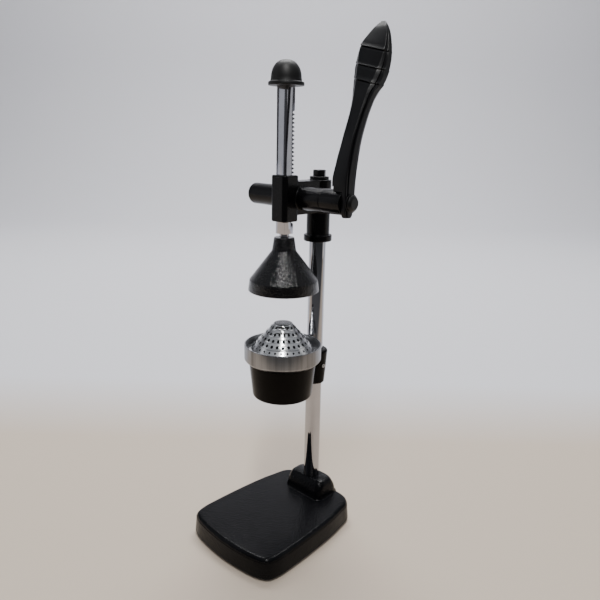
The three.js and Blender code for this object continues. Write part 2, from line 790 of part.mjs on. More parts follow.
function press_cone() {
  const slope = (cone_lip_radius - cone_neck_radius) / cone_flank;
  const inner = cone_wall * Math.sqrt(1 + slope * slope);
  const roof_z = cone_top_z - cone_roof;
  const roof_radius = cone_washer_radius + 2 * gap;
  const flank_share = 0.9;
  const outside = turned([[0, cone_rim_z], [cone_rim_radius, cone_rim_z],
    [cone_rim_radius, cone_rim_z + cone_lip * 0.35], [cone_rim_radius - gap, cone_rim_z + cone_lip * 0.6],
    [cone_lip_radius + gap, cone_lip_z - cone_lip * 0.08],
    [cone_lip_radius - cone_wall / 3, cone_lip_z + cone_wall / 3],
    [cone_neck_radius + slope * cone_flank * (1 - flank_share), cone_lip_z + cone_flank * flank_share],
    [cone_neck_radius + cone_wall / 6, cone_neck_z],
    [cone_neck_radius - cone_wall / 6, cone_neck_z + cone_wall],
    [cone_neck_top_radius + gap, cone_top_z - cone_wall / 3], [cone_neck_top_radius - gap, cone_top_z],
    [0, cone_top_z]]);
  const inside = turned([[0, cone_rim_z - overrun], [cone_rim_radius - cone_wall, cone_rim_z - overrun],
    [cone_rim_radius - cone_wall, cone_rim_z + cone_lip * 0.6],
    [cone_lip_radius - inner, cone_lip_z - cone_lip * 0.1],
    [roof_radius + cone_wall, roof_z - 2 * nut_height], [roof_radius, roof_z - nut_height],
    [roof_radius, roof_z], [0, roof_z]]);
  return cut(outside, inside, rod(stud_radius + gap, roof_z - overrun, cone_top_z + overrun, small_sides));
}

function cone_washer_ring() {
  const high = cone_top_z - cone_roof - gap;
  return rod(cone_washer_radius, high - cone_washer, high, mid_sides)
    .subtract(rod(stud_radius + gap, high - cone_washer - overrun, high + overrun, small_sides));
}

function cone_nut() {
  const high = cone_top_z - cone_roof - cone_washer - 2 * gap;
  return upright(hexagon(nut_radius), high - nut_height, high)
    .subtract(rod(stud_radius + gap, high - nut_height - overrun, high + overrun, small_sides));
}

// Holder: the bowl, a rib and the clamp round the column, in one casting
const bowl_top_z = bowl_bottom_z + bowl_height;
const pan_low_z = bowl_top_z + gap;

function bowl_holder() {
  const bowl = turned([[0, bowl_bottom_z], [bowl_bottom_radius - bowl_edge, bowl_bottom_z],
    [bowl_bottom_radius - bowl_edge / 4, bowl_bottom_z + bowl_edge / 4],
    [bowl_bottom_radius, bowl_bottom_z + bowl_edge], [bowl_top_radius, bowl_top_z], [0, bowl_top_z]]);
  const clamp = turned([[0, bowl_bottom_z], [holder_bottom_radius - holder_edge / 2, bowl_bottom_z],
    [holder_bottom_radius, bowl_bottom_z + holder_edge],
    [holder_top_radius, bowl_bottom_z + holder_height - holder_edge],
    [holder_top_radius - holder_edge, bowl_bottom_z + holder_height], [0, bowl_bottom_z + holder_height]],
  fine_sides, 0, column_y);
  const rib = block(-holder_rib_half_width, holder_rib_half_width, bowl_bottom_radius - bowl_wall, column_y,
    bowl_bottom_z + bowl_edge, bowl_bottom_z + bowl_edge + holder_rib_height);
  const hollow = turned([[0, bowl_bottom_z + bowl_floor], [bowl_spout_radius, bowl_bottom_z + bowl_floor],
    [bowl_bottom_radius - bowl_wall * 2, bowl_bottom_z + bowl_floor + bowl_wall],
    [bowl_bottom_radius - bowl_wall, bowl_bottom_z + bowl_floor * 2.5],
    [bowl_top_radius - bowl_wall, bowl_top_z + overrun], [0, bowl_top_z + overrun]]);
  const spout = rod(bowl_spout_radius, bowl_bottom_z - overrun, bowl_bottom_z + bowl_height / 2, mid_sides);
  const pan_room = rod(pan_radius + gap, bowl_top_z, bowl_top_z + bowl_height, fine_sides);
  const column_bore = rod(column_radius + column_fit, bowl_bottom_z - overrun,
    bowl_bottom_z + holder_height + overrun, fine_sides, 0, column_y);
  const screw_bore = set_screw_bar(set_screw_radius + gap, column_radius, holder_top_radius + overrun);
  return cut(union(bowl, clamp, rib), hollow, spout, pan_room, column_bore, screw_bore);
}

// A bar along X through the clamp, with its ends counted from the column's axis
function set_screw_bar(radius, from, to) {
  const geometry = new THREE.CylinderGeometry(radius, radius, to - from, small_sides);
  geometry.rotateZ(Math.PI / 2);
  geometry.translate((from + to) / 2, column_y, bowl_bottom_z + holder_height - set_screw_drop);
  return solid(geometry);
}

function holder_set_screw() {
  const taper = (holder_top_radius - holder_bottom_radius) / holder_height;
  const face = holder_top_radius - taper * set_screw_drop;
  const socket = set_screw_bar(set_screw_radius / 2, face - set_screw_proud,
    face + set_screw_proud + overrun);
  return set_screw_bar(set_screw_radius, column_radius + gap, face + set_screw_proud).subtract(socket);
}

// Pan: an open ring with a floor that stands on the bowl's rim
const pan_rim_z = pan_low_z + pan_height;

const pan_ledge_z = pan_rim_z - pan_ledge_depth;

function strainer_pan() {
  const low = pan_low_z;
  const lip_radius = pan_hole_radius + pan_lip_wall;
  const inner = pan_radius - pan_wall;
  const ledge = inner - pan_ledge_width;
  return turned([[pan_hole_radius, low - pan_lip], [lip_radius, low - pan_lip], [lip_radius, low],
    [pan_radius - pan_corner, low], [pan_radius - pan_corner * 0.3, low + pan_corner * 0.3],
    [pan_radius, low + pan_corner], [pan_radius, pan_rim_z - pan_bead],
    [pan_radius - pan_wall / 2, pan_rim_z], [inner, pan_rim_z - pan_bead], [inner, pan_ledge_z],
    [ledge, pan_ledge_z], [ledge, low + pan_floor], [pan_hole_radius, low + pan_floor],
    [pan_hole_radius, low - pan_lip]]);
}

// Strainer: a perforated sheet metal cone, whose flange rests on the pan's ledge
const strainer_low_z = pan_ledge_z + gap;
const strainer_foot_z = strainer_low_z + strainer_sheet;
const strainer_skirt_z = strainer_foot_z + strainer_sheet / 2 + strainer_skirt_drop;
const strainer_slope_z = strainer_skirt_z + strainer_step;
const strainer_crown_z = strainer_slope_z + strainer_slope_drop;
const strainer_top_z = strainer_crown_z + strainer_crown;

// A row of holes square to a slope between two [radius, height] points
function slope_holes([upper_radius, upper_z], [lower_radius, lower_z], share, count, lead) {
  const tilt = Math.atan2(upper_z - lower_z, lower_radius - upper_radius);
  const holes = [];
  for (let i = 0; i < count; i += 1) {
    const hole = new THREE.CylinderGeometry(strainer_hole_radius, strainer_hole_radius,
      strainer_sheet * 6, hole_sides);
    hole.rotateX(Math.PI / 2);
    hole.rotateY(tilt);
    hole.translate(upper_radius + (lower_radius - upper_radius) * share, 0,
      upper_z + (lower_z - upper_z) * share);
    hole.rotateZ((i + lead) * 2 * Math.PI / count);
    holes.push(solid(hole));
  }
  return holes;
}

function strainer_cone() {
  const low = strainer_low_z;
  const crown = [strainer_crown_radius, strainer_crown_z];
  const slope_end = [strainer_slope_radius, strainer_slope_z];
  const skirt_top = [strainer_slope_radius + strainer_step / 2, strainer_skirt_z];
  const skirt_end = [strainer_skirt_radius, strainer_foot_z + strainer_sheet / 2];
  const dome = [strainer_crown_radius * 0.6, strainer_top_z - strainer_crown / 6];
  const outside = turned([[0, strainer_top_z], dome, crown, slope_end, skirt_top, skirt_end,
    [strainer_flange_radius, strainer_foot_z], [strainer_flange_radius, low], [0, low]], sheet_sides);
  const sink = strainer_sheet * Math.hypot(strainer_slope_drop, strainer_slope_radius - strainer_crown_radius)
    / (strainer_slope_radius - strainer_crown_radius);
  const inside = turned([...[[0, strainer_top_z], dome, crown, slope_end, skirt_top]
    .map(([radius, z]) => [radius, z - sink]),
    [strainer_skirt_radius - strainer_sheet, low], [strainer_skirt_radius - strainer_sheet, low - overrun],
    [0, low - overrun]], sheet_sides);
  const rows = strainer_row_counts.flatMap((count, row) => slope_holes(
    crown, slope_end, strainer_row_shares[row], count, row / 2));
  const skirt_row = slope_holes(skirt_top, skirt_end, skirt_row_share, skirt_row_count, 0);
  return cut(outside, inside, ...rows, ...skirt_row);
}

place('base_casting', base_casting(), cast_black);
foot_places().forEach(([x, y], i) => {
  place(`foot_${foot_names[i]}`, foot(x, y), rubber_black);
  place(`foot_screw_${foot_names[i]}`, foot_screw(x, y), zinc_steel);
});
place('column_tube', column_tube(), chrome);
place('column_lower_plug', column_plug(column_foot_z + gap), zinc_steel);
place('column_upper_plug', column_plug(column_top_z - plug_length - gap), zinc_steel);
place('base_washer', base_washer(), zinc_steel);
place('base_bolt', base_bolt(), zinc_steel);
place('head_casting', head_casting(), cast_black);
place('head_washer', head_washer(), black_steel);
place('head_bolt', head_bolt(), black_steel);
place('shaft_bush_left', bush(-pinion_width / 2 - bush_length - overrun), bronze);
place('shaft_bush_right', bush(tube_right_x - bush_length - overrun), bronze);
place('bowl_holder', bowl_holder(), cast_black);
place('holder_set_screw', holder_set_screw(), zinc_steel);
place('strainer_pan', strainer_pan(), spun_aluminium);
place('strainer_cone', strainer_cone(), spun_aluminium);

place('pinion_shaft', pinion_shaft(), plated_steel);
place('pinion_gear', pinion_gear(), plated_steel);
place('pinion_key', pinion_key(), zinc_steel);
place('lever_hub', lever_hub(), cast_black);
place('lever_arm', lever_arm(), cast_black);
place('lever_washer', lever_washer_ring(), black_steel);
place('lever_bolt', lever_bolt(), black_steel);

place('ram_rack', ram_rack(), plated_steel);
place('ram_cap', ram_cap(), moulded_black);
place('press_cone', press_cone(), cast_black);
place('cone_washer', cone_washer_ring(), zinc_steel);
place('cone_nut', cone_nut(), zinc_steel);

export default press;
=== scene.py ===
"""A hand lever press for citrus halves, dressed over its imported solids.

The scene is in metres, +Z up. The sizes named here are in millimetres.
"""
import math

import bmesh
import bpy
from mathutils import Matrix, Vector


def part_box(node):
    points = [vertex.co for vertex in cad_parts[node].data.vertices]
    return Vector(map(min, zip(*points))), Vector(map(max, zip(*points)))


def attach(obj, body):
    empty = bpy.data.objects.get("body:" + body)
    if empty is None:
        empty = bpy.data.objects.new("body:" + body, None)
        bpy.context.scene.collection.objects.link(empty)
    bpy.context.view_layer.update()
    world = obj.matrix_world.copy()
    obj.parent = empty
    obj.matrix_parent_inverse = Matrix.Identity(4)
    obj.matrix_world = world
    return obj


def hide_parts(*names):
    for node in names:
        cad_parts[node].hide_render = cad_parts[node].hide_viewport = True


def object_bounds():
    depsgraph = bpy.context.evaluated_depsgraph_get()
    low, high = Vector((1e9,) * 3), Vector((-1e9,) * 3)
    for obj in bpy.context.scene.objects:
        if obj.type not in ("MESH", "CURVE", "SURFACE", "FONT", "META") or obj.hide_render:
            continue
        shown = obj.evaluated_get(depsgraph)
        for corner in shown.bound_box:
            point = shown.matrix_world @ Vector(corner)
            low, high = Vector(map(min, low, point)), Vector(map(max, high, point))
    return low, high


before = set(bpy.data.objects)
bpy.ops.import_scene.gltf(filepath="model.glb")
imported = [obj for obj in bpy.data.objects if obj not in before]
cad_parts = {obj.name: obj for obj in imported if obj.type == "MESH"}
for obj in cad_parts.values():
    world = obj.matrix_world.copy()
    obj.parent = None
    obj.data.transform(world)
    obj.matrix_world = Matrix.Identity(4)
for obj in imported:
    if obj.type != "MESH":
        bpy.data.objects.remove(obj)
cad_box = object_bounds()

MM = 0.001

# How many sides a turned piece has
FINE = 160
ROUND = 96
SMALL = 48

# Steps of the arc at a rounded corner, and the most that it takes of either side
ARC_STEPS = 5
ARC_SHARE = 0.48
# Steps round one corner of a rounded rectangle
CORNER_STEPS = 10

# Points nearer to each other than this are one point, and nearer to the axis they are on it
WELD = 0.002
ON_AXIS = 0.001
# Edges that turn by more degrees than this are sharp, on most pieces and on softer ones
SHARP = 35
SOFT = 50

# The photograph's camera: place in millimetres, angles in degrees
CAMERA_PLACE = (425.3, -430.1, 411.2)
CAMERA_YAW = 43.03
CAMERA_PITCH = 15.31
CAMERA_ROLL = 1.19
CAMERA_LENS = 35.85


def box_of(node):
    """Lowest and highest corner of a node, and its centre."""
    low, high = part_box(node)
    return low, high, (low + high) / 2


def radius_of(low, high, axis="x"):
    """The radius of a round piece in millimetres, from its box."""
    return (getattr(high, axis) - getattr(low, axis)) / 2 / MM


def add_mesh(name, points, faces, sharp=SHARP):
    mesh = bpy.data.meshes.new(name)
    mesh.from_pydata([tuple(p) for p in points], [], faces)
    mesh.validate()
    obj = bpy.data.objects.new(name, mesh)
    bpy.context.scene.collection.objects.link(obj)
    fix_normals(obj)
    shade(obj, sharp)
    return obj


def fix_normals(obj):
    shell = bmesh.new()
    shell.from_mesh(obj.data)
    bmesh.ops.remove_doubles(shell, verts=shell.verts, dist=WELD * MM)
    bmesh.ops.recalc_face_normals(shell, faces=shell.faces)
    shell.to_mesh(obj.data)
    shell.free()


def shade(obj, sharp):
    obj.data.shade_smooth()
    obj.data.set_sharp_from_angle(angle=math.radians(sharp))


def apply_modifiers(obj):
    """The mesh with its modifiers becomes the object's own mesh."""
    graph = bpy.context.evaluated_depsgraph_get()
    mesh = bpy.data.meshes.new_from_object(obj.evaluated_get(graph))
    obj.modifiers.clear()
    old = obj.data
    obj.data = mesh
    bpy.data.meshes.remove(old)


def settle(obj, body, slot, material, *nodes):
    """A finished piece: what it rides on, what it stands for and its finish."""
    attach(obj, body)
    if nodes:
        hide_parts(*nodes)
    obj.data.materials.clear()
    obj.data.materials.append(material)


def quarter_turn(steps, first=0):
    """Angles from 0 to a quarter of a circle, in equal steps."""
    return [k / steps * math.pi / 2 for k in range(first, steps + 1)]


def rounded_path(points, closed=False):
    """A polyline of (a, b, radius) corners, each turned into a short arc of about that radius."""
    flat = [Vector((p[0], p[1])) for p in points]
    radii = [p[2] if len(p) > 2 else 0 for p in points]
    count = len(flat)
    path = []
    for i, corner in enumerate(flat):
        ends = not closed and i in (0, count - 1)
        if ends or radii[i] <= 0:
            path.append(corner)
            continue
        before = flat[i - 1] - corner
        after = flat[(i + 1) % count] - corner
        half = before.angle(after) / 2
        reach = min(radii[i] / math.tan(half), before.length * ARC_SHARE, after.length * ARC_SHARE)
        start = corner + before.normalized() * reach
        stop = corner + after.normalized() * reach
        for k in range(ARC_STEPS + 1):
            t = k / ARC_STEPS
            path.append(start * (1 - t) ** 2 + corner * 2 * t * (1 - t) + stop * t ** 2)
    return path


def lathe(name, profile, sides=FINE, centre=(0, 0, 0), axis="Z", closed=False, sharp=SHARP):
    """A turned piece. The profile is (radius, height, corner radius) in millimetres."""
    path = rounded_path(profile, closed)
    points = []
    faces = []
    rings = []
    for radius, height in path:
        if radius < ON_AXIS:
            rings.append([len(points)])
            points.append((0, 0, height * MM))
            continue
        first = len(points)
        for i in range(sides):
            turn = 2 * math.pi * i / sides
            points.append((radius * MM * math.cos(turn), radius * MM * math.sin(turn), height * MM))
        rings.append(list(range(first, first + sides)))
    pairs = list(zip(rings, rings[1:])) + ([(rings[-1], rings[0])] if closed else [])
    for lower, upper in pairs:
        for i in range(sides):
            j = (i + 1) % sides
            corners = (lower[i % len(lower)], lower[j % len(lower)],
                       upper[j % len(upper)], upper[i % len(upper)])
            face = [v for n, v in enumerate(corners) if v not in corners[:n]]
            if len(face) > 2:
                faces.append(face)
    turn = Matrix.Identity(4) if axis == "Z" else Matrix.Rotation(math.pi / 2, 4, "Y")
    place = Matrix.Translation(Vector(centre)) @ turn
    return add_mesh(name, [place @ Vector(p) for p in points], faces, sharp)


def solid(name, profile, sides=FINE, centre=(0, 0, 0), axis="Z"):
    """A turned piece that is filled as far as the axis at both ends of its profile."""
    closed = [(0, profile[0][1]), *profile, (0, profile[-1][1])]
    return lathe(name, closed, sides, centre, axis)


def rod(name, radius, low, high, sides=FINE, centre=(0, 0, 0), axis="Z"):
    """A plain round solid, mostly to cut with."""
    return solid(name, [(radius, low), (radius, high)], sides, centre, axis)


def hollow_rod(name, hole, radius, low, high, edges, centre, axis="Z"):
    """A tube, hub or washer. The edges are the corner radii outside, at the low and high end."""
    profile = [(hole, low), (radius, low, edges[0]), (radius, high, edges[1]), (hole, high)]
    return lathe(name, profile, ROUND, centre, axis, closed=True)


def loft(name, rings, sharp=SHARP):
    """Closed rings of points joined into a skin, with both ends closed."""
    count = len(rings[0])
    points = [p for ring in rings for p in ring]
    faces = []
    for k in range(len(rings) - 1):
        for i in range(count):
            j = (i + 1) % count
            a, b = k * count + i, k * count + j
            faces.append((a, b, b + count, a + count))
    faces.append(tuple(range(count))[::-1])
    faces.append(tuple(range(len(points) - count, len(points))))
    return add_mesh(name, points, faces, sharp)


def rounded_ring(x0, x1, y0, y1, corner, z):
    """A rounded rectangle of points at one height: millimetres in, metres out."""
    ring = []
    centres = [(x1 - corner, y1 - corner), (x0 + corner, y1 - corner),
               (x0 + corner, y0 + corner), (x1 - corner, y0 + corner)]
    for quarter, (cx, cy) in enumerate(centres):
        for i in range(CORNER_STEPS + 1):
            turn = (quarter + i / CORNER_STEPS) * math.pi / 2
            x = cx + corner * math.cos(turn)
            y = cy + corner * math.sin(turn)
            ring.append(Vector((x, y, z)) * MM)
    return ring


def prism(name, outline, low, high):
    """A flat outline in X and Y, in millimetres, raised between two heights."""
    rings = [[Vector((x, y, z)) * MM for x, y in outline] for z in (low, high)]
    return loft(name, rings)


def slab(name, x0, x1, y0, y1, z0, z1):
    return prism(name, [(x0, y0), (x1, y0), (x1, y1), (x0, y1)], z0, z1)


def drop(obj):
    mesh = obj.data
    bpy.data.objects.remove(obj)
    bpy.data.meshes.remove(mesh)


def boolean(target, tools, kind="DIFFERENCE"):
    """The tools cut the target, or join it, and are gone."""
    for tool in tools:
        step = target.modifiers.new(kind.lower(), "BOOLEAN")
        step.operation = kind
        step.solver = "EXACT"
        step.object = tool
    apply_modifiers(target)
    for tool in tools:
        drop(tool)


def cast(name, adds, cuts, voxel, passes):
    """Several solids run together as one casting, with soft edges and fillets."""
    first = adds[0]
    first.name = name
    boolean(first, adds[1:], "UNION")
    boolean(first, cuts)
    melt = first.modifiers.new("melt", "REMESH")
    melt.mode = "VOXEL"
    melt.voxel_size = voxel * MM
    ease = first.modifiers.new("ease", "SMOOTH")
    ease.factor = 0.5
    ease.iterations = passes
    apply_modifiers(first)
    first.data.shade_smooth()
    return first


def bevel_edges(obj, width, angle):
    """Edges that turn by more than the angle in degrees get a bevel."""
    bevel = obj.modifiers.new("bevel", "BEVEL")
    bevel.width = width * MM
    bevel.segments = 2
    bevel.limit_method = "ANGLE"
    bevel.angle_limit = math.radians(angle)
    apply_modifiers(obj)
    shade(obj, SHARP)


# Materials

def new_material(name):
    """A material, its tree of nodes and its shader."""
    material = bpy.data.materials.new(name)
    material.use_nodes = True
    return material, material.node_tree, material.node_tree.nodes["Principled BSDF"]


def wire(tree, node, values):
    """Sets inputs of a node by name, each to a constant or from another node's output."""
    for name, value in values.items():
        if isinstance(value, bpy.types.NodeSocket):
            tree.links.new(value, node.inputs[name])
        else:
            node.inputs[name].default_value = value


def add_node(tree, kind, values, **settings):
    """A new node with its settings, and its inputs wired."""
    node = tree.nodes.new("ShaderNode" + kind)
    for name, value in settings.items():
        setattr(node, name, value)
    wire(tree, node, values)
    return node


def value_of(tree, kind, output, values, **settings):
    """One output of such a node."""
    return add_node(tree, kind, values, **settings).outputs[output]


def toned(color, share):
    return tuple(c * share for c in color)


def coordinates(tree, scale=(1, 1, 1)):
    """Places on the object in metres, stretched by a scale for each direction."""
    place = value_of(tree, "TexCoord", "Object", {})
    return value_of(tree, "Mapping", "Vector", {"Vector": place, "Scale": scale})


def noise(tree, vector, scale, detail):
    return value_of(tree, "TexNoise", "Fac", {"Vector": vector, "Scale": scale, "Detail": detail,
                                              "Roughness": 0.55})


def ramp(tree, value, stops):
    """A 0 to 1 value as a colour, by stops of (place, colour)."""
    node = add_node(tree, "ValToRGB", {"Fac": value})
    elements = node.color_ramp.elements
    while len(elements) < len(stops):
        elements.new(0.5)
    for element, (place, color) in zip(elements, stops):
        element.position = place
        element.color = (*color, 1)
    return node.outputs["Color"]


def ranged(tree, value, low=0.0, high=1.0, start=0.0, stop=1.0):
    """A value between start and stop, moved to the range from low to high."""
    values = {"Value": value, "From Min": start, "From Max": stop, "To Min": low, "To Max": high}
    return value_of(tree, "MapRange", "Result", values)


def bump(tree, height, distance, strength, under=None):
    """A normal from a height. The distance is in millimetres."""
    values = {"Height": height, "Distance": distance * MM, "Strength": strength}
    if under:
        values["Normal"] = under
    return value_of(tree, "Bump", "Normal", values)


ORANGE_PEEL_DEPTH = 0.04


def black_paint(name, color, rough, pebble, pebble_depth, gloss):
    """Sprayed paint on a casting: pebbles of one size, a fine orange peel and dull patches."""
    material, tree, shader = new_material(name)
    where = coordinates(tree)
    patches = noise(tree, where, 55, 5)
    fine = noise(tree, where, 900, 2)
    values = {"Vector": where, "Scale": 1 / (pebble * MM), "Smoothness": 0.6}
    cells = value_of(tree, "TexVoronoi", "Distance", values, feature="SMOOTH_F1")
    pebbles = bump(tree, cells, pebble_depth, 0.9)
    tones = [(0.35, toned(color, 0.8)), (0.65, toned(color, 1.25))]
    wire(tree, shader, {"Base Color": ramp(tree, patches, tones),
                        "Roughness": ranged(tree, patches, *rough),
                        "Normal": bump(tree, fine, ORANGE_PEEL_DEPTH, 0.5, pebbles),
                        "Specular IOR Level": gloss})
    return material


def moulded_plastic(name, color, rough):
    """Plastic or rubber out of a mould: a fine grain, and patches a little lighter or darker."""
    material, tree, shader = new_material(name)
    where = coordinates(tree)
    grain = noise(tree, where, 1600, 3)
    patches = noise(tree, where, 80, 3)
    tones = [(0.3, toned(color, 0.85)), (0.7, toned(color, 1.3))]
    uneven = 0.06
    wire(tree, shader, {"Base Color": ramp(tree, patches, tones),
                        "Roughness": ranged(tree, grain, rough - uneven, rough + uneven),
                        "Normal": bump(tree, grain, 0.03, 0.6)})
    return material


def metal(name, color, rough, grain, depth, stain, grain_scale=(1, 1, 1)):
    """Bare or plated metal: fine marks along the way it was worked, and faint stains."""
    material, tree, shader = new_material(name)
    marks = noise(tree, coordinates(tree, grain_scale), grain, 3)
    stains = noise(tree, coordinates(tree), 60, 4)
    tones = [(0.35, toned(color, 1 - stain)), (0.6, color)]
    wire(tree, shader, {"Base Color": ramp(tree, stains, tones),
                        "Roughness": ranged(tree, marks, *rough),
                        "Normal": bump(tree, marks, depth, 0.5),
                        "Metallic": 1.0})
    return material


# A mix node's sockets for colours share their names with those for numbers
MIX_COLOR_A = 6
MIX_COLOR_B = 7
MIX_COLOR_RESULT = 2


def shaded_inside(tree, tint, color, away, edge_radius):
    """The tint outside a radius round the axis, and inside it a dark tone of the colour as painted
    shade.
    """
    soft = 0.15
    outside = ranged(tree, away, start=(edge_radius - soft) * MM, stop=(edge_radius + soft) * MM)
    values = {"Factor": outside, MIX_COLOR_A: (*toned(color, 0.3), 1), MIX_COLOR_B: tint}
    return value_of(tree, "Mix", MIX_COLOR_RESULT, values, data_type="RGBA")


def turned_metal(name, color, rough, pitch, depth, twist, reflection_streaks, painted_shade_inside):
    """Metal turned on a lathe about Z: fine lines round it, which pull highlights into streaks, and
    upright painted reflection streaks that darken its colour.

    Nearer the axis than the given radius, in millimetres, the colour is painted darker as shade:
    the pan's inside under the strainer and its underside in the bowl, and the strainer's crown
    under the press cone.
    """
    material, tree, shader = new_material(name)
    split = add_node(tree, "SeparateXYZ", {"Vector": coordinates(tree)}).outputs
    flat = value_of(tree, "CombineXYZ", "Vector", {"X": split["X"], "Y": split["Y"]})
    away = value_of(tree, "VectorMath", "Value", {0: flat}, operation="LENGTH")
    along = value_of(tree, "CombineXYZ", "Vector", {"X": away, "Y": split["Z"]})
    lines = noise(tree, along, 1 / (pitch * MM), 2)
    # Marks stretched upright and darkened by the streak share are painted reflection streaks; with
    # no streak share they are faint stains.
    marks = noise(tree, coordinates(tree, (1, 1, 0.04 if reflection_streaks else 1)), 70 + reflection_streaks * 200, 4)
    stain = 0.1
    tint = ramp(tree, marks, [(0.35, toned(color, 1 - stain - reflection_streaks)), (0.6, color)])
    tangent = value_of(tree, "Tangent", "Tangent", {}, direction_type="RADIAL", axis="Z")
    wire(tree, shader, {"Base Color": shaded_inside(tree, tint, color, away, painted_shade_inside),
                        "Roughness": ranged(tree, lines, *rough),
                        "Normal": bump(tree, lines, depth, 0.6),
                        "Tangent": tangent, "Metallic": 1.0, "Anisotropic": twist})
    return material


BASE_PAINT = black_paint("base_paint", (0.003, 0.0031, 0.004), rough=(0.16, 0.26),
                         pebble=1.6, pebble_depth=0.27, gloss=0.11)
HEAD_PAINT = black_paint("head_paint", (0.0025, 0.0025, 0.003), rough=(0.18, 0.28),
                         pebble=1.6, pebble_depth=0.07, gloss=0.2)
CONE_PAINT = black_paint("cone_paint", (0.0025, 0.0025, 0.003), rough=(0.07, 0.13),
                         pebble=1.2, pebble_depth=0.48, gloss=0.5)
# The brown tinge of the bowl paint is a painted reflection of warm wood.
BOWL_PAINT = black_paint("bowl_paint", (0.0022, 0.0016, 0.0012), rough=(0.16, 0.26),
                         pebble=1.4, pebble_depth=0.06, gloss=0.08)
LEVER_PAINT = black_paint("lever_paint", (0.0035, 0.0035, 0.0045), rough=(0.27, 0.37),
                          pebble=1.2, pebble_depth=0.05, gloss=0.28)
BLACK_STEEL = black_paint("black_oxide", (0.0035, 0.0035, 0.004), rough=(0.25, 0.4),
                          pebble=0.9, pebble_depth=0.03, gloss=0.35)
CAP_PLASTIC = moulded_plastic("cap_plastic", (0.0035, 0.0035, 0.004), rough=0.5)
RUBBER = moulded_plastic("foot_rubber", (0.012, 0.012, 0.012), rough=0.8)
CHROME = metal("column_chrome", (0.46, 0.46, 0.485), rough=(0.03, 0.07),
               grain=200, depth=0.001, stain=0.06, grain_scale=(1, 1, 0.1))
PLATED = metal("rack_plate", (0.50, 0.50, 0.54), rough=(0.07, 0.13),
               grain=1500, depth=0.002, stain=0.08, grain_scale=(1, 1, 0.03))
ZINC = metal("zinc_plate", (0.55, 0.56, 0.58), rough=(0.3, 0.5),
             grain=900, depth=0.008, stain=0.2)
BRONZE = metal("bush_bronze", (0.55, 0.36, 0.18), rough=(0.3, 0.5),
               grain=1200, depth=0.01, stain=0.25)
# Near the axis the pan and the strainer are darkened as painted shade.
ALUMINIUM = turned_metal("turned_aluminium", (0.34, 0.345, 0.36), rough=(0.24, 0.36),
                         pitch=0.2, depth=0.002, twist=0.6, reflection_streaks=0.35, painted_shade_inside=39.75)
STRAINER_STEEL = turned_metal("strainer_steel", (0.78, 0.79, 0.8), rough=(0.12, 0.22),
                              pitch=0.6, depth=0.004, twist=0.4, reflection_streaks=0.0, painted_shade_inside=9.8)


# Column

ON_COLUMN = (0, box_of("column_tube")[2].y, 0)


def column():
    low, high, _ = box_of("column_tube")
    radius = radius_of(low, high)
    wall, edge = 1.5, 0.4
    tube = hollow_rod("column", radius - wall, radius, low.z / MM, high.z / MM, (edge, edge),
                      ON_COLUMN)
    settle(tube, "frame", "chrome_tube", CHROME, "column_tube")


# Base

BASE_HALF_WIDTH = 64
BASE_FRONT = 89
BASE_REAR = 72.5
# Half of the outline, in shares of the half width and of the reach to the front or the rear
BASE_SHARES = [(0, -1), (0.4, -0.983), (0.75, -0.938), (0.93, -0.868), (0.992, -0.735), (1, -0.5),
               (0.985, -0.15), (0.945, 0.28), (0.89, 0.58), (0.82, 0.82), (0.66, 0.95),
               (0.3, 0.99), (0, 1)]
BASE_CURVE_STEPS = 40
BASE_POINTS = 260

FOOT_PLACES = ("front_left", "front_right", "rear_right", "rear_left")
# The bosses start a little inside the ceiling of the base
BOSS_TOP = -6
# Air between two pieces that touch
GAP = 0.3


def between(p, q, start, stop, at):
    """The point at one place on the line through two points that are at start and at stop."""
    return p * ((stop - at) / (stop - start)) + q * ((at - start) / (stop - start))


def centripetal(points, steps):
    """A closed smooth curve through points, centripetal so that it never loops."""
    count = len(points)
    curve = []
    for i in range(count):
        p = [points[(i + k) % count] for k in (-1, 0, 1, 2)]
        t = [0.0]
        for a, b in zip(p, p[1:]):
            t.append(t[-1] + max((b - a).length, 1e-9) ** 0.5)
        for step in range(steps):
            at = t[1] + (t[2] - t[1]) * step / steps
            a = [between(p[k], p[k + 1], t[k], t[k + 1], at) for k in range(3)]
            b = [between(a[k], a[k + 1], t[k], t[k + 2], at) for k in range(2)]
            curve.append(between(b[0], b[1], t[1], t[2], at))
    return curve


def evenly(curve, count):
    """The closed curve again, with points at equal distances."""
    lengths = [0.0]
    ring = curve + [curve[0]]
    for a, b in zip(ring, ring[1:]):
        lengths.append(lengths[-1] + (b - a).length)
    out = []
    k = 0
    for i in range(count):
        want = lengths[-1] * i / count
        while lengths[k + 1] < want:
            k += 1
        share = (want - lengths[k]) / (lengths[k + 1] - lengths[k])
        out.append(ring[k].lerp(ring[k + 1], share))
    return out


def base_outline():
    half = []
    for across, along in BASE_SHARES:
        reach = BASE_FRONT if along < 0 else BASE_REAR
        half.append(Vector((across * BASE_HALF_WIDTH, along * reach)))
    mirrored = [Vector((-p.x, p.y)) for p in reversed(half[1:-1])]
    return evenly(centripetal(half + mirrored, BASE_CURVE_STEPS), BASE_POINTS)


def base_ring(outline, inset, z):
    """The outline moved inwards all round, at one height."""
    ring = []
    count = len(outline)
    for i, point in enumerate(outline):
        along = (outline[(i + 1) % count] - outline[i - 1]).normalized()
        ring.append(Vector((point.x - along.y * inset, point.y + along.x * inset, z)) * MM)
    return ring


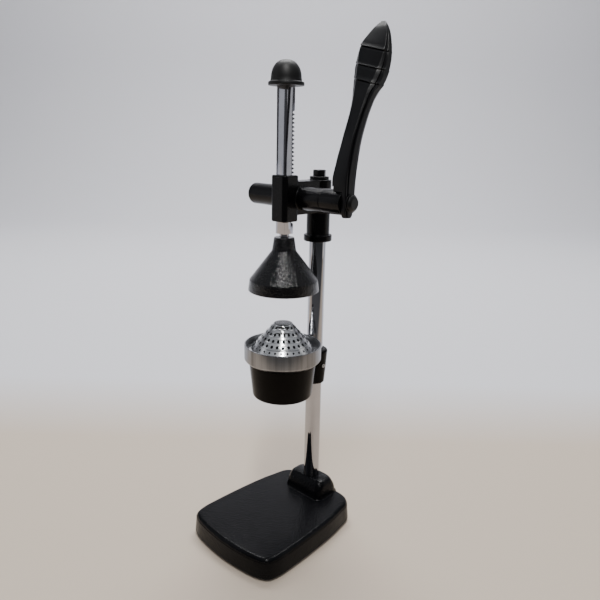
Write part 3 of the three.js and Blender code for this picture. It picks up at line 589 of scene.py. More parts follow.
def base():
    """The plate with its skirt, which leans out towards the table under a round shoulder."""
    outline = base_outline()
    low, _, _ = box_of("base_casting")
    height = -low.z / MM
    draft, shoulder, wall, plate = 2.0, 4.6, 4.5, 5.0
    # inset and height of the shell, from the inside of the ceiling out and up to the shoulder
    profile = [(wall + draft + shoulder, -plate), (wall + draft, -plate - draft, 2.5),
               (wall, -height, 0.6), (0.0, -height, 0.8), (draft * 0.8, -shoulder)]
    path = rounded_path(profile)
    for turn in quarter_turn(12):
        inset = draft + shoulder * (1 - math.cos(turn))
        path.append(Vector((inset, -shoulder * (1 - math.sin(turn)))))
    return loft("base_shell", [base_ring(outline, inset, z) for inset, z in path], SOFT)


def ease_shares(table, steps):
    """A table of shares filled in smoothly between its rows, by its first column."""
    rows = []
    for i in range(len(table) - 1):
        for s in range(steps):
            rows.append(blend_rows(table, i, s / steps))
    rows.append(list(table[-1]))
    return rows


def slopes(xs, ys):
    """Slopes of a curve through points that never overshoots them."""
    steps = [(ys[i + 1] - ys[i]) / (xs[i + 1] - xs[i]) for i in range(len(xs) - 1)]
    out = [steps[0]]
    for a, b in zip(steps, steps[1:]):
        out.append(0.0 if a * b <= 0 else 2 * a * b / (a + b))
    out.append(steps[-1])
    return out


def blend_rows(table, i, t):
    """The row at a share t of the way from row i of a table to the next one."""
    xs = [row[0] for row in table]
    width = xs[i + 1] - xs[i]
    row = [xs[i] + width * t]
    for c in range(1, len(table[0])):
        ys = [r[c] for r in table]
        m = slopes(xs, ys)
        row.append((2 * t ** 3 - 3 * t ** 2 + 1) * ys[i] + (t ** 3 - 2 * t ** 2 + t) * width * m[i]
                   + (3 * t ** 2 - 2 * t ** 3) * ys[i + 1] + (t ** 3 - t ** 2) * width * m[i + 1])
    return row


# Socket block: share of its height, then how far it is in at the sides as a share of the half
# width, and at the front and the rear as shares of the depth
SOCKET_SHARES = [(-0.06, 0, 0, 0), (0.4, 0.03, 0.04, 0.04), (0.65, 0.06, 0.09, 0.1),
                 (0.85, 0.11, 0.15, 0.155), (0.95, 0.17, 0.195, 0.19), (1, 0.25, 0.235, 0.215)]


def socket():
    half_width, front, rear, corner, height = 28, 34, 69.5, 9, 19.5
    depth = rear - front
    flare, sunk = 1.4, 0.05
    rings = []
    for turn in quarter_turn(6):
        out = flare * (1 - math.sin(turn))
        z = flare * (1 - math.cos(turn)) - sunk
        rings.append(rounded_ring(-half_width - out, half_width + out, front - out, rear + out,
                                  corner + out, z))
    for share, side, ahead, behind in ease_shares(SOCKET_SHARES, 7):
        z = share * height
        if z <= flare:
            continue
        half = half_width * (1 - side)
        rings.append(rounded_ring(-half, half, front + ahead * depth, rear - behind * depth,
                                  corner * (1 - side), z))
    return loft("socket_block", rings, SOFT)


def base_boss(name, bottom, narrow, wide, edge, sides, centre):
    """A tapered boss under the base's ceiling, down to what it carries."""
    boss = solid(name, [(narrow, bottom, edge), (wide, BOSS_TOP)], sides, centre)
    settle(boss, "frame", "cast_black_paint", BASE_PAINT)


def foot(place):
    """A boss in the base's corner and the rubber foot under it."""
    low, high, mid = box_of("foot_" + place)
    centre = (mid.x, mid.y, 0)
    radius = radius_of(low, high)
    bottom, top = low.z / MM, high.z / MM
    base_boss("base_boss_" + place, top + GAP, narrow=8.2, wide=9, edge=0.6, sides=SMALL,
              centre=centre)
    screw_room, head_room, head_depth, tread = 2.4, 3.9, 2, 1.2
    profile = [(screw_room, bottom + head_depth), (head_room, bottom + head_depth),
               (head_room, bottom, 0.3), (radius * 0.92, bottom, 0.7),
               (radius, bottom + tread, 0.8), (radius, top, 0.3), (screw_room, top)]
    pad = lathe("rubber_foot_" + place, profile, SMALL, centre, closed=True)
    settle(pad, "frame", "rubber", RUBBER, "foot_" + place)


def base_with_socket():
    shell = base()
    block = socket()
    bore_radius, bore_floor, past_block = 9.35, 2, 30
    bore = rod("socket_bore", bore_radius, bore_floor, past_block, ROUND, ON_COLUMN)
    boolean(block, [bore])
    shade(block, SOFT)
    settle(shell, "frame", "cast_black_paint", BASE_PAINT, "base_casting")
    settle(block, "frame", "cast_black_paint", BASE_PAINT)
    for place in FOOT_PLACES:
        foot(place)
    _, high, mid = box_of("base_washer")
    base_boss("base_column_boss", high.z / MM + GAP, narrow=16.4, wide=17, edge=0.8, sides=ROUND,
              centre=(0, mid.y, 0))


# Head: guide, cross tube, web, column sleeve and collar run together

PINION_Y = 16.25
PINION_Z = 351.0
PINION_CENTRE = (0, PINION_Y * MM, PINION_Z * MM)
GUIDE_HALF = 10.5


def head_guide():
    """The square guide round the ram, with its edges turned off at both ends."""
    corner, reach, edge, eased = 4.3, 23, 1.0, 0.3
    low, high = PINION_Z - reach, PINION_Z + reach
    rings = []
    for inset, z in ((edge, low), (eased, low + eased), (0, low + edge),
                     (0, high - edge), (eased, high - eased), (edge, high)):
        half = GUIDE_HALF - inset
        rings.append(rounded_ring(-half, half, -half, half, corner - inset / 2, z))
    return loft("guide", rings)


def head_web():
    """The web from the guide to the column, and round behind the column."""
    half_height, reach, half_width, steps = 16.7, 13.0, 9.2, 40
    turn = math.asin(half_width / reach)
    column_y = ON_COLUMN[1] / MM
    outline = [(-half_width, 0), (half_width, 0)]
    for k in range(steps + 1):
        at = -math.pi / 2 + turn + (2 * math.pi - 2 * turn) * k / steps
        outline.append((reach * math.cos(at), column_y + reach * math.sin(at)))
    return prism("web", outline, PINION_Z - half_height, PINION_Z + half_height)


def head_cuts(left, right):
    """Room for the ram, the column, the pinion and the pinion's shaft."""
    ram_room, ram_low, ram_high = 6.55, 320, 385
    column_room, column_low, column_high = 9.3, 295, 362.3
    pinion_half, pinion_room, shaft_room, closed_end = 5.6, 13.1, 8.1, 3
    return [
        slab("ram_bore", -ram_room, ram_room, -ram_room, ram_room, ram_low, ram_high),
        rod("column_bore", column_room, column_low, column_high, ROUND, ON_COLUMN),
        slab("pinion_slot", -pinion_half, pinion_half, PINION_Y - pinion_room,
             PINION_Y + pinion_room, ram_low, PINION_Z),
        rod("pinion_pocket", pinion_room, -pinion_half, pinion_half, ROUND, PINION_CENTRE, "X"),
        rod("shaft_bore", shaft_room, left + closed_end, right + 1, ROUND, PINION_CENTRE, "X")]


def head():
    low, high, _ = box_of("head_casting")
    left, right, bottom = low.x / MM, high.x / MM, low.z / MM
    left_radius, left_dome, left_length, right_radius = 11.2, 3.2, 20, 11.7
    profile = [(left_radius, left, left_dome), (left_radius, left + left_length),
               (right_radius, -GUIDE_HALF), (right_radius, right, 0.5)]
    tube = solid("tube", profile, FINE, PINION_CENTRE, "X")
    sleeve_radius, sleeve_low = 12.4, 305
    sleeve = rod("sleeve", sleeve_radius, sleeve_low, PINION_Z, FINE, ON_COLUMN)
    collar_radius, collar_height, edge = 15.2, 6.8, 0.7
    profile = [(collar_radius, bottom, edge), (collar_radius, bottom + collar_height, edge)]
    collar = solid("collar", profile, FINE, ON_COLUMN)
    solids = [head_guide(), tube, head_web(), sleeve, collar]
    body = cast("head", solids, head_cuts(left, right), voxel=0.55, passes=5)
    settle(body, "frame", "cast_black_paint", HEAD_PAINT, "head_casting")


def hexagon_bolt(name, y, low, high, across):
    """A hexagon head with its corners turned off at the top."""
    radius = across / math.sqrt(3)
    turns = [k * math.pi / 3 for k in range(6)]
    outline = [(radius * math.cos(turn), y + radius * math.sin(turn)) for turn in turns]
    block = prism(name, outline, low, high)
    past, cone_depth, flat_share = 2, 2.2, 0.86
    profile = [(radius + past, low - 1), (radius + past, high - cone_depth),
               (radius * flat_share, high)]
    cone = solid("turning", profile, ROUND, (0, y * MM, 0))
    boolean(block, [cone], "INTERSECT")
    bevel_edges(block, 0.25, 25)
    return block


def head_fixings():
    low, high, mid = box_of("head_washer")
    hole, across_flats, top = 4.4, 12.2, high.z / MM
    washer = hollow_rod("top_washer", hole, radius_of(low, high), low.z / MM, top, (0.3, 0.7),
                        (0, mid.y, 0))
    settle(washer, "frame", "black_steel", BLACK_STEEL, "head_washer")
    _, high, mid = box_of("head_bolt")
    bolt = hexagon_bolt("top_bolt", mid.y / MM, top + GAP, high.z / MM, across_flats)
    settle(bolt, "frame", "black_steel", BLACK_STEEL, "head_bolt")


# Lever

ARM_LENGTH = 166.0
ARM_WIDTH = 17.6
ARM_CENTRE_X = 63.0
# Share of the length up from the pivot; front and rear as shares of the length; half widths of
# the front face, the body and the rear face as shares of the width
ARM_SHARES = [
    (-0.082, -0.035, 0.02, 0.46, 0.5, 0.44),
    (-0.07, -0.045, 0.03, 0.48, 0.5, 0.46),
    (-0.045, -0.05, 0.035, 0.49, 0.5, 0.47),
    (0.05, -0.05, 0.045, 0.49, 0.5, 0.47),
    (0.12, -0.05, 0.05, 0.49, 0.5, 0.47),
    (0.23, -0.03, 0.07, 0.4, 0.49, 0.43),
    (0.35, 0.005, 0.1, 0.32, 0.48, 0.39),
    (0.46, 0.05, 0.14, 0.33, 0.5, 0.4),
    (0.56, 0.09, 0.185, 0.36, 0.59, 0.46),
    (0.62, 0.11, 0.225, 0.42, 0.73, 0.54),
    (0.67, 0.13, 0.25, 0.5, 0.85, 0.6),
    (0.75, 0.16, 0.275, 0.65, 0.98, 0.63),
    (0.8, 0.178, 0.285, 0.73, 0.98, 0.61),
    (0.85, 0.197, 0.293, 0.77, 0.92, 0.55),
    (0.92, 0.234, 0.3, 0.64, 0.68, 0.4),
    (0.965, 0.26, 0.303, 0.4, 0.43, 0.25),
    (0.985, 0.275, 0.3, 0.24, 0.27, 0.16),
    (1, 0.287, 0.298, 0.1, 0.12, 0.07),
]
# The fingers' steps: their shares of the length, how far they overhang and how they slant
ARM_STEPS = (0.67, 0.75, 0.85)
ARM_STEP = 1.1
ARM_STEP_SLOPE = 0.24
ARM_GROOVE_DEPTH = 1.6
# Shares of the depth from the front
ARM_FRONT_EDGE, ARM_BELLY, ARM_REAR_EDGE = 0.24, 0.62, 0.9
# Left of everything: no cut beside the hub
UNCUT = -1000


def fade(value, start, stop):
    """0 at the start, 1 at the stop and a soft bend between, whichever of them is higher."""
    share = min(1.0, max(0.0, (value - start) / (stop - start)))
    return share * share * (3 - 2 * share)


def arm_ring(row, low_x, forward=0.0):
    """One section of the arm, with the groove along its sides and the fingers' steps."""
    up, front, rear, wide_front, wide, wide_rear = row
    depth = (rear - front) * ARM_LENGTH
    slope = ARM_STEP_SLOPE * fade(up, 0.6, 0.67) * fade(up, 0.95, 0.85)
    groove = fade(up, 0.6, 0.5)
    bevel = wide_front + (wide - wide_front) * 0.5
    share = ARM_FRONT_EDGE * 0.5
    sink = ARM_GROOVE_DEPTH / ARM_WIDTH * groove
    small = min(1.0, wide / 0.4)
    # half width as a share of the width, share of the depth, corner radius
    right = [(wide_front, 0, 0.8), (bevel, share, 0.25), (bevel - sink, share + 0.01, 0.2),
             (bevel - sink, ARM_FRONT_EDGE - 0.02, 0.2), (wide, ARM_FRONT_EDGE, 0.5),
             (wide, ARM_BELLY, 2.4), (wide_rear, ARM_REAR_EDGE, 2.4),
             (wide_rear * ARM_BELLY, 1, 2.0)]
    corners = [(x * ARM_WIDTH, front * ARM_LENGTH + depth * s, r * small) for x, s, r in right]
    corners += [(-x, y, r) for x, y, r in reversed(corners)]
    ring = []
    for x, y in rounded_path(corners, True):
        ahead = 1 - (y - front * ARM_LENGTH) / depth
        ring.append(Vector((max(ARM_CENTRE_X + x, low_x), PINION_Y + y - forward * ahead,
                            PINION_Z + up * ARM_LENGTH - x * slope + forward)) * MM)
    return ring


def arm_rows():
    """Sections from tail to tip: a short rounded overhang at each step, and none close to it."""
    rows = []
    for row in ease_shares(ARM_SHARES, 9):
        away = min(abs(row[0] - step) for step in ARM_STEPS)
        if away < 0.001:
            for share in (-1.0, -0.86, -0.4, 0.4, 0.86, 1.0):
                rows.append((row, share * ARM_STEP / 2))
        elif away >= 0.009:
            rows.append((row, 0.0))
    return rows


def lever_arm(plate_left, notch):
    """The arm. Up to the notch, a share of its length, it is only a plate beside the hub."""
    rings = []
    beside_hub = True
    for row, forward in arm_rows():
        if row[0] < notch:
            rings.append(arm_ring(row, plate_left, forward))
            continue
        if beside_hub:
            edge = [notch] + list(row[1:])
            rings.append(arm_ring(edge, plate_left))
            rings.append(arm_ring(edge, UNCUT))
            beside_hub = False
        rings.append(arm_ring(row, UNCUT, forward))
    return loft("lever", rings, 32)


def lever_neck(plate_left, hub_radius):
    """The short block that joins the arm over the hub."""
    width, front, rear, low, over_hub, into_plate = 8.5, 6.3, 7.4, 7.4, 3.7, 0.3
    neck = slab("neck", ARM_CENTRE_X - width, plate_left + into_plate, PINION_Y - front,
                PINION_Y + rear, PINION_Z + low, PINION_Z + hub_radius + over_hub)
    left_of_neck = 30
    room = rod("hub_room", hub_radius + GAP, left_of_neck, plate_left, ROUND, PINION_CENTRE, "X")
    boolean(neck, [room])
    shade(neck, SHARP)
    return neck


def lever():
    low, high, _ = box_of("lever_hub")
    hub_radius, hub_right, hub_hole = radius_of(low, high, "z"), high.x / MM, 4
    beside_hub, over_hub = 0.6, 3.4
    plate_left = hub_right + beside_hub
    arm = lever_arm(plate_left, (hub_radius + over_hub) / ARM_LENGTH)
    neck = lever_neck(plate_left, hub_radius)
    settle(arm, "lever", "lever_black_paint", LEVER_PAINT, "lever_arm")
    settle(neck, "lever", "lever_black_paint", LEVER_PAINT)
    edges = (0.6, 0.6)
    hub = hollow_rod("hub", hub_hole, hub_radius, low.x / MM, hub_right, edges, PINION_CENTRE, "X")
    settle(hub, "lever", "cast_black_paint", HEAD_PAINT, "lever_hub")
    low, high, _ = box_of("lever_washer")
    radius, seat, hole = radius_of(low, high, "z"), high.x / MM, 2.4
    edges = (0.2, 0.35)
    ring = hollow_rod("pivot_washer", hole, radius, low.x / MM, seat, edges, PINION_CENTRE, "X")
    settle(ring, "lever", "black_steel", BLACK_STEEL, "lever_washer")
    low, high, _ = box_of("lever_bolt")
    radius, top = radius_of(low, high, "z"), high.x / MM
    dome_depth, dome_slope = 2.0, 2.3
    profile = [(radius, seat + GAP, 0.2), (radius, top - dome_depth, 0.9),
               (radius - dome_slope, top, 1.4)]
    button = solid("pivot_bolt", profile, ROUND, PINION_CENTRE, "X")
    settle(button, "lever", "black_steel", BLACK_STEEL, "lever_bolt")


# Ram

RAM_SIDE = 12.5
RACK_BOTTOM = 315.5
RACK_MODULE = 1.25
PRESSURE_ANGLE = 20
# Depth of the tooth spaces under the pitch line, in modules
RACK_ROOT = 1.25
# Tooth spaces below the pinion's height, and from there on up
SPACES_BELOW, SPACES_ABOVE = 6, 22


def rack():
    low, high, _ = box_of("ram_rack")
    side = RAM_SIDE / 2
    top = high.z / MM
    pitch = math.pi * RACK_MODULE
    pitch_y = side - RACK_MODULE
    lean = math.tan(math.radians(PRESSURE_ANGLE))
    floor_y = pitch_y - RACK_MODULE * RACK_ROOT
    mouth = pitch / 4 + lean * RACK_MODULE
    floor = pitch / 4 - lean * RACK_MODULE * RACK_ROOT
    outline = [(side, RACK_BOTTOM)]
    for i in range(-SPACES_BELOW, SPACES_ABOVE):
        z = PINION_Z + i * pitch
        outline += [(side, z - mouth), (floor_y, z - floor),
                    (floor_y, z + floor), (side, z + mouth)]
    outline += [(side, top), (-side, top), (-side, RACK_BOTTOM)]
    rings = [[Vector((x, y, z)) * MM for y, z in outline] for x in (-side, side)]
    bar = loft("rack", rings, 30)
    bevel_edges(bar, 0.28, 30)
    settle(bar, "ram", "plated_steel", PLATED, "ram_rack")
    _, cone_high, _ = box_of("press_cone")
    seat = cone_high.z / MM + GAP
    stud_radius, collar_radius = 4, 5
    end, in_bar = low.z / MM, RACK_BOTTOM + 0.3
    profile = [(stud_radius, end, 0.6), (stud_radius, seat), (collar_radius, seat, 0.3),
               (collar_radius, in_bar)]
    stud = solid("ram_stud", profile, ROUND)
    settle(stud, "ram", "plated_steel", PLATED)


def cap():
    """A knob with a dome over a flange, and a bead between them."""
    low, high, _ = box_of("ram_cap")
    bottom, top = low.z / MM, high.z / MM
    hole, depth, flange, dome, bead = 6.6, 9, 17.5, 14.8, 4.2
    dome_base = bottom + bead * 1.6
    profile = [(0, bottom + depth), (hole, bottom + depth), (hole, bottom, 0.4),
               (flange, bottom, 1.1), (flange, bottom + bead * 0.8, 1.6),
               (dome + 0.5, bottom + bead, 0.8), (dome, dome_base)]
    for turn in quarter_turn(18, 1)[:-1]:
        height = dome_base + (top - dome_base) * math.sin(turn)
        profile.append((dome * math.cos(turn) ** 0.8, height))
    profile.append((0, top))
    knob = lathe("ram_knob", profile, FINE, sharp=SOFT)
    settle(knob, "ram", "moulded_black", CAP_PLASTIC, "ram_cap")


def cone():
    """The hollow press cone: a neck, a skirt down to the rim, and a pocket for the nut inside."""
    low, high, _ = box_of("press_cone")
    bottom, top = low.z / MM, high.z / MM
    hole, crown, neck, neck_foot = 3, 10.4, 12.5, top - 13.6
    waist, waist_up, rim = 35.6, bottom + 11.4, 37
    mouth, flank, flank_up = 33.7, 33.0, bottom + 8
    throat, throat_up = 12.2, bottom + 30.6
    pocket, pocket_up, pocket_floor = 8.7, bottom + 35, top - 15.6
    outer = [(hole, top), (crown, top, 1.2), (neck, neck_foot, 7), (waist, waist_up, 1.6),
             (rim, bottom, 1.0)]
    inner = [(mouth, bottom, 0.8), (flank, flank_up, 3), (throat, throat_up, 4),
             (pocket, pocket_up, 1), (pocket, pocket_floor), (hole, pocket_floor)]
    shell = lathe("cone", outer + inner, FINE, closed=True, sharp=SOFT)
    settle(shell, "ram", "hammered_black_paint", CONE_PAINT, "press_cone")


# Bowl, arm and clamp in one casting

def bowl():
    low, high, _ = box_of("bowl_holder")
    bottom = low.z / MM
    top = bottom + 38
    floor_radius, mouth_radius = 32.0, 36.2
    cup = solid("cup", [(floor_radius, bottom, 2.4), (mouth_radius, top)])
    height = high.z / MM - bottom
    clamp_foot, clamp_head, clamp_top = 11.8, 15.0, bottom + height
    profile = [(clamp_foot, bottom, 1.2), (clamp_head, clamp_top, 3.2)]
    clamp = solid("clamp", profile, FINE, ON_COLUMN)
    half, front, rib_low, rib_high = 9, 29, bottom + 2, bottom + 28
    rib = slab("rib", -half, half, front, ON_COLUMN[1] / MM, rib_low, rib_high)
    spout_radius, spout_top = 8, bottom + 19
    floor, slope_radius, slope_foot, inner_radius = bottom + 4, 27, bottom + 7, 33.2
    hollow = solid("hollow", [(spout_radius, floor, 1), (slope_radius, slope_foot, 6),
                              (inner_radius, top + 1)])
    pan_room, pan_room_height, column_room = 41.5, 20, 9.2
    cuts = [hollow,
            rod("spout", spout_radius, bottom - 1, spout_top, SMALL),
            rod("pan_room", pan_room, top, top + pan_room_height, FINE),
            rod("clamp_bore", column_room, bottom - 1, clamp_top + 1, FINE, ON_COLUMN)]
    body = cast("bowl", [cup, clamp, rib], cuts, voxel=0.5, passes=4)
    settle(body, "holder", "hammered_black_paint", BOWL_PAINT, "bowl_holder")


def pan():
    """A ring-shaped trough with a straight wall, and a short tube under it in the bowl."""
    low, high, _ = box_of("strainer_pan")
    bottom, rim = low.z / MM + 3, high.z / MM
    hole, tube, tube_foot = 31.3, 32.5, bottom - 3
    corner, wall, wall_foot = 37.6, 41.2, bottom + 3.4
    floor, inside, step_up, step_in, lip = bottom + 1.6, 39.5, rim - 7, 36, 39.7
    profile = [(hole, tube_foot), (tube, tube_foot, 0.3), (tube, bottom), (corner, bottom, 1.5),
               (wall, wall_foot, 2.5), (wall, rim, 0.7), (lip, rim, 0.7), (inside, step_up, 1.0),
               (step_in, step_up, 0.6), (step_in, floor, 1.0), (hole, floor)]
    ring = lathe("pan", profile, FINE, closed=True, sharp=40)
    settle(ring, "pan", "spun_aluminium", ALUMINIUM, "strainer_pan")


# Strainer

def hole_cutter(points, faces, hole, place, tilt, turn, reach):
    """A prism through the wall at (radius, height), leaning by the tilt and turned about Z."""
    radius, stretch, sides = hole
    first = len(points)
    for end in (-1, 1):
        for k in range(sides):
            a = 2 * math.pi * k / sides
            local = Vector((radius * stretch * math.cos(a), radius * math.sin(a), end * reach))
            local.rotate(Matrix.Rotation(tilt, 3, "Y"))
            local += Vector((place[0], 0, place[1]))
            local.rotate(Matrix.Rotation(turn, 3, "Z"))
            points.append(local * MM)
    for k in range(sides):
        j = (k + 1) % sides
        faces.append((first + k, first + j, first + sides + j, first + sides + k))
    faces.append(tuple(range(first, first + sides))[::-1])
    faces.append(tuple(range(first + sides, first + 2 * sides)))


def hole_row(points, faces, hole, place, tilt, count, ahead=0.0, reach=2.0):
    """A ring of holes, all turned ahead by a share of the way from one to the next."""
    for i in range(count):
        turn = (i + ahead) * 2 * math.pi / count
        hole_cutter(points, faces, hole, place, tilt, turn, reach)


# The crown and its drop to the edge, then the slope's end and its fall
CROWN_RADIUS = 10.0
CROWN_DROP = 0.8
SLOPE_END = 28.6
SLOPE_FALL = 21.2
SLOPE_ANGLE = math.atan2(SLOPE_FALL, SLOPE_END - CROWN_RADIUS)
STRAINER_WALL = 1.35
# Radius, how much longer than wide, and sides of a hole
SLOPE_HOLE = (1.5, 1.2, 14)
SKIRT_HOLE = (1.1, 1.15, 12)
CROWN_HOLE = (0.8, 1.0, 10)
# Rows of holes: how far down the slope, or which radius on the crown, and how many
SLOPE_ROWS = ((0.15, 18), (0.41, 22), (0.66, 25), (0.89, 28))
CROWN_ROWS = ((2.2, 6), (4.3, 12), (6.4, 18), (8.5, 24))
SKIRT_HOLES = 30
# The band that each row on the slope stands in
BAND_HEIGHT = 0.16
BAND = ((-0.1, 0.0), (-0.05, BAND_HEIGHT), (0.05, BAND_HEIGHT), (0.085, 0.0))
# The skirt's upper edge, and the way from there to its lower edge
SKIRT_RADIUS, SKIRT_DROP = 29.2, 23.2
SKIRT_OUT, SKIRT_FALL = 4.6, 5.7


def on_slope(top, share, out=0.0):
    """Radius and height of a place on the slope, or beyond it by a distance."""
    return (CROWN_RADIUS + (SLOPE_END - CROWN_RADIUS) * share + out * math.sin(SLOPE_ANGLE),
            top - CROWN_DROP - SLOPE_FALL * share + out * math.cos(SLOPE_ANGLE))


def strainer_skin(foot, top):
    """The strainer without its holes: crown, slope with raised bands, skirt and foot."""
    slope_foot, skirt_foot, skirt_foot_drop, foot_radius, foot_edge = 22.0, 33.8, 28.9, 39.2, 1.0
    slope_inside, skirt_inside, foot_inside, crown_wall, eased = 28.0, 28.4, 33.2, 0.8, 0.3
    outer = [(0, top), (CROWN_RADIUS * 0.6, top - CROWN_DROP / 6, 3),
             (CROWN_RADIUS, top - CROWN_DROP, 1.2)]
    for share, _ in SLOPE_ROWS:
        for along, out in BAND:
            if share + along < 0.98:
                outer.append((*on_slope(top, share + along, out - BAND_HEIGHT), 0.6))
    outer += [(SLOPE_END, top - slope_foot, 0.5), (SKIRT_RADIUS, top - SKIRT_DROP, 0.5),
              (skirt_foot, top - skirt_foot_drop, 1.0), (foot_radius, foot + foot_edge, 0.3)]
    inner = [(foot_radius, foot, 0.3), (foot_inside, foot, 0.6),
             (skirt_inside, top - SKIRT_DROP - STRAINER_WALL, 0.5),
             (slope_inside, top - slope_foot - STRAINER_WALL + eased, 0.5),
             (CROWN_RADIUS - eased, top - CROWN_DROP - STRAINER_WALL, 1.2),
             (0, top - crown_wall - CROWN_DROP / 2)]
    return lathe("strainer", outer + inner, FINE, sharp=40)


def strainer():
    low, high, _ = box_of("strainer_cone")
    foot, top = low.z / MM, high.z / MM
    skin = strainer_skin(foot, top)
    points, faces = [], []
    for n, (share, count) in enumerate(SLOPE_ROWS):
        hole_row(points, faces, SLOPE_HOLE, on_slope(top, share), SLOPE_ANGLE, count, n / 2)
    down = 0.3
    on_skirt = (SKIRT_RADIUS + SKIRT_OUT * down, top - SKIRT_DROP - SKIRT_FALL * down)
    hole_row(points, faces, SKIRT_HOLE, on_skirt, math.atan2(SKIRT_FALL, SKIRT_OUT), SKIRT_HOLES)
    edge_tilt, through = 0.16, 1.7
    for n, (radius, count) in enumerate(CROWN_ROWS):
        place = (radius, top - CROWN_DROP * (radius / CROWN_RADIUS) ** 2)
        hole_row(points, faces, CROWN_HOLE, place, radius / CROWN_RADIUS * edge_tilt, count, n / 2,
                 through)
    cutters = add_mesh("strainer_holes", points, faces)
    boolean(skin, [cutters])
    shade(skin, 40)
    settle(skin, "strainer", "polished_steel", STRAINER_STEEL, "strainer_cone")


# Small parts that keep their solids

def small_parts():
    finishes = (
        (PLATED, ("pinion_shaft", "pinion_gear")),
        (BRONZE, ("shaft_bush_left", "shaft_bush_right")),
        (ZINC, ("pinion_key", "base_washer", "base_bolt", "column_lower_plug", "column_upper_plug",
                "cone_washer", "cone_nut", "holder_set_screw",
                *("foot_screw_" + place for place in FOOT_PLACES))))
    for material, nodes in finishes:
        for node in nodes:
            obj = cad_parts[node]
            obj.data.materials.clear()
            obj.data.materials.append(material)


# Stage, light and camera

# The dim grey is the room's light in the world, and painted shade on the paper in front of the
# press.
DIM_GREY = (0.07, 0.07, 0.072)
WARM_PAPER = (0.58, 0.49, 0.40)
COOL_PAPER = (0.70, 0.70, 0.74)
DAYLIGHT = (0.34, 0.35, 0.37)


def sweep_mesh(ahead, side):
    """Paper, in metres, that lies under the press and bends up behind it."""
    low = cad_box[0][2]
    size, front, depth, rise, bend = 6.0, -4.0, 3.2, 5.0, 0.9
    rows = [(front, 0), (depth - bend, 0)]
    for turn in quarter_turn(16, 1):
        rows.append((depth - bend + bend * math.sin(turn), bend * (1 - math.cos(turn))))
    rows.append((depth, rise))
    points = []
    for out, up in rows:
        for across in (-size, size):
            points.append(ahead * out + side * across + Vector((0, 0, low + up)))
    faces = [(2 * i, 2 * i + 1, 2 * i + 3, 2 * i + 2) for i in range(len(rows) - 1)]
    mesh = bpy.data.meshes.new("floor")
    mesh.from_pydata([tuple(p) for p in points], [], faces)
    mesh.shade_smooth()
    return mesh


def paper(ahead):
    """Paper that is painted dark in front as shade, standing for the dim room that the black paint
    reflects, then warm and then cool behind, with a faint grain.
    """
    material, tree, shader = new_material("floor_paper")
    where = coordinates(tree)
    along = value_of(tree, "VectorMath", "Value", {0: where, 1: ahead}, operation="DOT_PRODUCT")
    # from one metre in front to one metre behind
    share = ranged(tree, along, start=-1, stop=1)
    # The dim grey towards the camera is painted shade.
    tones = [(0.2, DIM_GREY), (0.36, WARM_PAPER), (0.6, WARM_PAPER), (0.71, COOL_PAPER)]
    grain = noise(tree, where, 30, 4)
    wire(tree, shader, {"Base Color": ramp(tree, share, tones), "Roughness": 0.75,
                        "Normal": bump(tree, grain, 0.3, 0.3)})
    return material


def stage():
    yaw = math.radians(CAMERA_YAW)
    ahead = Vector((-math.sin(yaw), math.cos(yaw), 0))
    mesh = sweep_mesh(ahead, Vector((math.cos(yaw), math.sin(yaw), 0)))
    mesh.materials.append(paper(ahead))
    floor = bpy.data.objects.new("floor", mesh)
    bpy.context.scene.collection.objects.link(floor)


def from_middle(turn, height, reach):
    """A place in metres round the press, turned anticlockwise in degrees from the camera's side."""
    angle = math.radians(CAMERA_YAW - 90 + turn)
    return Vector((reach * math.cos(angle), reach * math.sin(angle), height))


def soft_light(name, place, target, width, height, watts, color=(1, 1, 1)):
    lamp = bpy.data.lights.new(name, "AREA")
    lamp.shape = "RECTANGLE"
    lamp.size = width
    lamp.size_y = height
    lamp.energy = watts
    lamp.color = color
    obj = bpy.data.objects.new(name, lamp)
    obj.location = place
    obj.rotation_euler = (Vector(target) - Vector(place)).to_track_quat("-Z", "Y").to_euler()
    bpy.context.scene.collection.objects.link(obj)


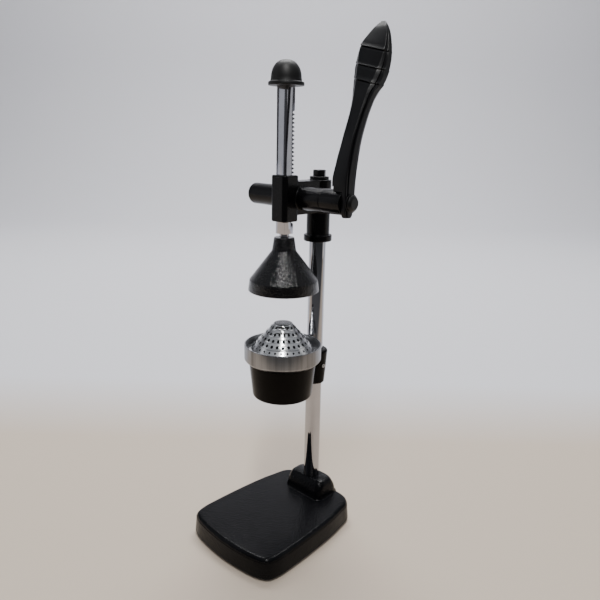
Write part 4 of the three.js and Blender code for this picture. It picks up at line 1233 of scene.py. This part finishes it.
def lights():
    """A pale sweep of paper in a dim room, lit from above, with a narrow light over the camera."""
    world = bpy.data.worlds.new("studio")
    world.use_nodes = True
    bpy.context.scene.world = world
    tree = world.node_tree
    place = value_of(tree, "TexCoord", "Generated", {})
    up = value_of(tree, "SeparateXYZ", "Z", {"Vector": place})
    room = ramp(tree, up, [(0.3, DIM_GREY), (0.8, DAYLIGHT)])
    wire(tree, tree.nodes["Background"], {"Color": room})
    floor_middle, press_middle, press_top = (0, 0, 0), (0, 0, 0.25), (0, 0, 0.4)
    warm = (1.0, 0.99, 0.97)
    soft_light("key_light", from_middle(0, 2.0, 1.0), press_middle, 0.16, 0.9, 24, warm)
    soft_light("edge_light", from_middle(6, 1.2, 1.4), press_top, 0.16, 0.3, 1.2)
    soft_light("ceiling_light", from_middle(180, 2.6, 1.3), floor_middle, 1.8, 0.7, 62)
    height, away, cool, white = 0.85, 1.9, (0.93, 0.95, 1.0), (1, 1, 1)
    for name, turn, color in (("left_panel", -88, cool), ("right_panel", 92, white)):
        soft_light(name, from_middle(turn, height, away), (0, 0, height), 0.9, 1.7, 2.6, color)
    backdrop = from_middle(180, 0.9, 3.0)
    soft_light("backdrop_light", from_middle(180, 2.6, 1.4), backdrop, 3.0, 0.5, 60)


def camera():
    yaw, pitch, roll = (math.radians(a) for a in (CAMERA_YAW, CAMERA_PITCH, CAMERA_ROLL))
    ahead = Vector((-math.sin(yaw) * math.cos(pitch), math.cos(yaw) * math.cos(pitch),
                    -math.sin(pitch)))
    level = Vector((math.cos(yaw), math.sin(yaw), 0))
    upright = level.cross(ahead)
    right = level * math.cos(roll) + upright * math.sin(roll)
    up = upright * math.cos(roll) - level * math.sin(roll)
    lens = bpy.data.cameras.new("photo_camera")
    lens.lens = CAMERA_LENS
    lens.sensor_width = 36
    lens.clip_start = 0.05
    lens.clip_end = 50
    obj = bpy.data.objects.new("photo_camera", lens)
    place = Vector(CAMERA_PLACE) * MM
    obj.matrix_world = Matrix((*zip(right, up, -ahead, place), (0, 0, 0, 1)))
    bpy.context.scene.collection.objects.link(obj)
    bpy.context.scene.camera = obj


camera()
column()
base_with_socket()
head()
head_fixings()
lever()
rack()
cap()
cone()
bowl()
pan()
strainer()
small_parts()
stage()
lights()
